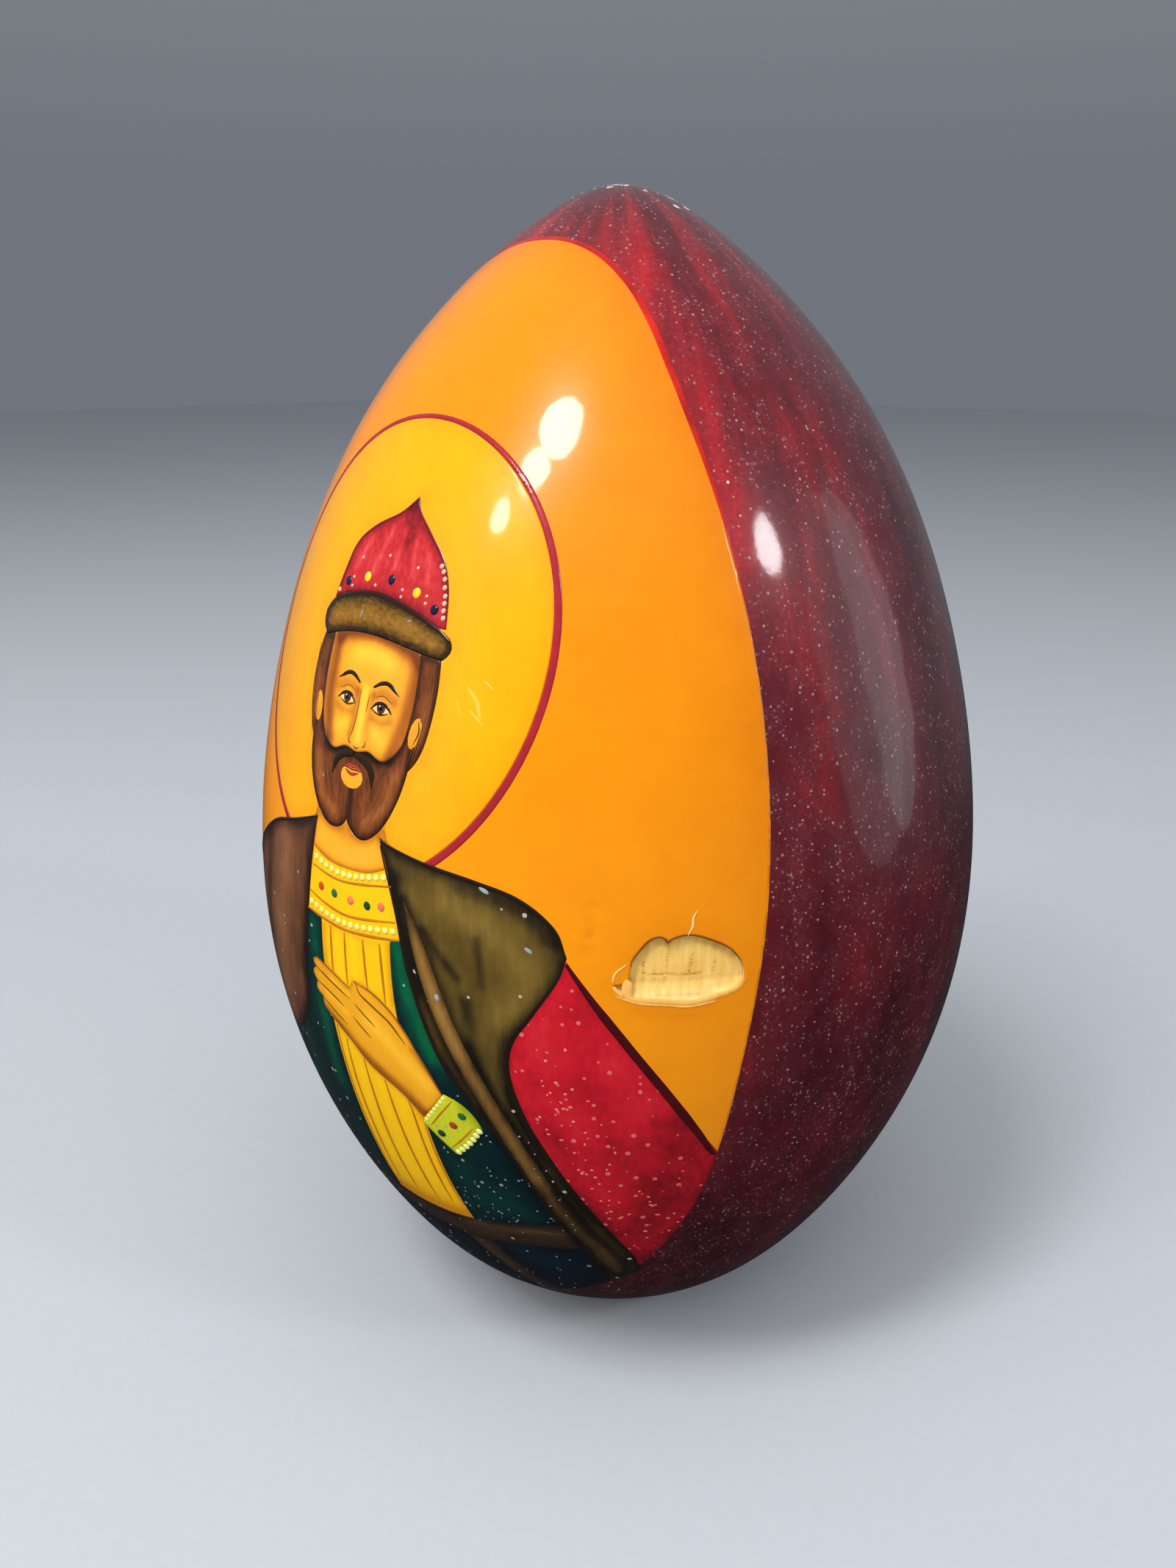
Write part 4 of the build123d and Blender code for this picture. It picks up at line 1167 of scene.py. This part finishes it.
flake = paint("pale fleck", [(96, 100, 104), (140, 146, 152), (184, 188, 190)], streaks=0.5, mottle=0.6,
              gloss=0.5)
flecks = [
    dome((18.9, 79.5), (0.62, 0.24), LINE, 0.02, -0.5), dome((23.6, 73.6), (0.48, 0.22), LINE, 0.02, -0.7),
    dome((14.1, 66.4), (0.3, 0.42), LINE, 0.03, 0.2), dome((-1.4, 105.1), (0.1, 0.4), LINE, 0.02, -0.3),
    dome((5.9, 105.2), (0.3, 0.1), LINE, 0.02, 0.3), dome((-3.9, 87.4), (0.12, 0.3), LINE, 0.02, 0.4),
]
for _ in range(70):
    place = (dice.uniform(11, 24), dice.uniform(33, 50))
    flecks.append(fleck(place, (0.05, 0.14), (0.05, 0.2), 6))
for _ in range(60):
    place = (dice.uniform(-18, 24), dice.uniform(14, 34))
    flecks.append(fleck(place, (0.05, 0.14), (0.05, 0.18), 6))
joined_piece("pale_flecks", flake, flecks)
pink = paint("pink fleck", [(190, 84, 66), (222, 124, 96), (240, 170, 130)], mottle=0.4, gloss=0.5)
flecks = []
for _ in range(60):
    t = dice.random()
    place = (25.5 + 6 * t + dice.uniform(-3, 3), 60 - 26 * t + dice.uniform(-3, 3))
    flecks.append(fleck(place, (0.08, 0.2), (0.08, 0.26), 7))
joined_piece("pink_flecks", pink, flecks)

# ---------------------------------------------------------------- camera, lights and floor
CAMERA_PITCH = radians(20)
CAMERA_BEARING = radians(41.55)
CAMERA_DISTANCE = 164.5
CAMERA_LEFT = 3.88
CAMERA_DOWN = 0.2


def camera_basis():
    """Where the camera stands and its axes. The view comes from the egg's front right, looking down."""
    centre = Vector((0, 0, EGG_HEIGHT / 2))
    forward = Vector((0, cos(CAMERA_PITCH), -sin(CAMERA_PITCH)))
    right = Vector((1, 0, 0))
    up = right.cross(forward)
    position = centre - forward * CAMERA_DISTANCE - right * CAMERA_LEFT - up * CAMERA_DOWN
    turn = Matrix.Rotation(CAMERA_BEARING, 3, "Z")
    return turn @ position, turn @ right, turn @ up, turn @ forward


position, right, up, forward = camera_basis()
camera = bpy.data.objects.new("camera", bpy.data.cameras.new("camera"))
camera.data.lens = 27.0
camera.data.sensor_width = 36.0
camera.data.clip_start = 0.005
camera.matrix_world = Matrix((
    (right.x, up.x, -forward.x, position.x * UNIT), (right.y, up.y, -forward.y, position.y * UNIT),
    (right.z, up.z, -forward.z, position.z * UNIT), (0, 0, 0, 1),
))
bpy.context.scene.collection.objects.link(camera)
bpy.context.scene.camera = camera


def area_light(name, place, target, size, power, colour=(1, 1, 1)):
    """A soft round light, its place and size in millimetres and its power in watts."""
    light = bpy.data.lights.new(name, "AREA")
    light.shape = "ELLIPSE"
    light.size, light.size_y = size[0] * UNIT, size[1] * UNIT
    light.energy = power
    light.color = colour
    item = bpy.data.objects.new(name, light)
    item.location = place * UNIT
    item.rotation_euler = (target - place).to_track_quat("-Z", "Y").to_euler()
    bpy.context.scene.collection.objects.link(item)
    return item


def mirrored_light(name, spot, distance, size, power, colour):
    """An area light placed so that the camera sees its reflection at a spot: bearing and height."""
    bearing, z = radians(spot[0]), spot[1]
    radius = float(radius_at(z))
    radial, upward = (float(v) for v in normal_at(z))
    point = Vector((radius * sin(bearing), -radius * cos(bearing), z))
    normal = Vector((radial * sin(bearing), -radial * cos(bearing), upward))
    towards = (position - point).normalized()
    away = 2 * normal.dot(towards) * normal - towards
    return area_light(name, point + away * distance, point, size, power, colour)


FLOOR_REACH = 3000 * UNIT
floor_corners = [(x * FLOOR_REACH, y * FLOOR_REACH, 0) for x, y in ((-1, -1), (1, -1), (1, 1), (-1, 1))]
floor_mesh = bpy.data.meshes.new("floor")
floor_mesh.from_pydata(floor_corners, [], [(0, 1, 2, 3)])
floor = bpy.data.objects.new("floor", floor_mesh)
bpy.context.scene.collection.objects.link(floor)
floor_shader = Shader("pale floor")
floor_value = floor_shader.total(0.5, (floor_shader.noise(0.6, 4.0), 0.4))
floor_colour = floor_shader.ramp(floor_value, [(0, (176, 179, 184)), (1, (190, 193, 198))])
floor_mesh.materials.append(floor_shader.finish(floor_colour, 0.8))

world = bpy.data.worlds.new("soft studio")
bpy.context.scene.world = world
world.use_nodes = True
world_tree = world.node_tree
background = world_tree.nodes["Background"]
heading = world_tree.nodes.new("ShaderNodeTexCoord")
height = world_tree.nodes.new("ShaderNodeSeparateXYZ")
halved = world_tree.nodes.new("ShaderNodeMath")
halved.operation = "MULTIPLY_ADD"
halved.inputs[1].default_value = 0.5
halved.inputs[2].default_value = 0.5
sky = world_tree.nodes.new("ShaderNodeValToRGB")
world_tree.links.new(heading.outputs["Generated"], height.inputs[0])
world_tree.links.new(height.outputs["Z"], halved.inputs[0])
world_tree.links.new(halved.outputs[0], sky.inputs["Fac"])
world_tree.links.new(sky.outputs["Color"], background.inputs["Color"])
# dark below the horizon, so that the egg's lower half mirrors little, and palest overhead
SKY = [
    (0.0, (0.02, 0.02, 0.025, 1)), (0.34, (0.05, 0.055, 0.06, 1)), (0.475, (0.264, 0.289, 0.333, 1)),
    (0.56, (0.264, 0.289, 0.333, 1)), (0.85, (0.52, 0.55, 0.60, 1)),
]
set_stops(sky.color_ramp.elements, SKY)
background.inputs["Strength"].default_value = 0.62

DAYLIGHT = (0.95, 0.98, 1.0)
COOLER = (0.94, 0.97, 1.0)
NEAR_WHITE = (0.97, 0.98, 1.0)
WARM = (1.0, 0.97, 0.93)
mirrored_light("window", (29.5, 124.5), 700, (170, 170), 2.3, DAYLIGHT)
mirrored_light("window_side", (25.5, 120), 700, (130, 120), 1.25, DAYLIGHT)
mirrored_light("window_foot", (21, 116), 700, (80, 70), 0.4, DAYLIGHT)
mirrored_light("second_window", (64, 113), 800, (120, 130), 1.25, COOLER)
mirrored_light("tall_panel", (82, 103), 800, (300, 640), 0.44, NEAR_WHITE)
mirrored_light("tall_glow", (77, 101), 820, (460, 760), 0.50, NEAR_WHITE)
lit_middle = Vector((0, 0, 60))
overhead = area_light("overhead", Vector((300, -500, 1300)), lit_middle, (1700, 1700), 10.5)
fill_light = area_light("fill", Vector((-450, -800, 300)), lit_middle, (700, 700), 3.4, WARM)
for item in (overhead, fill_light, floor):
    item.visible_glossy = False

bpy.context.scene.view_settings.view_transform = "Standard"
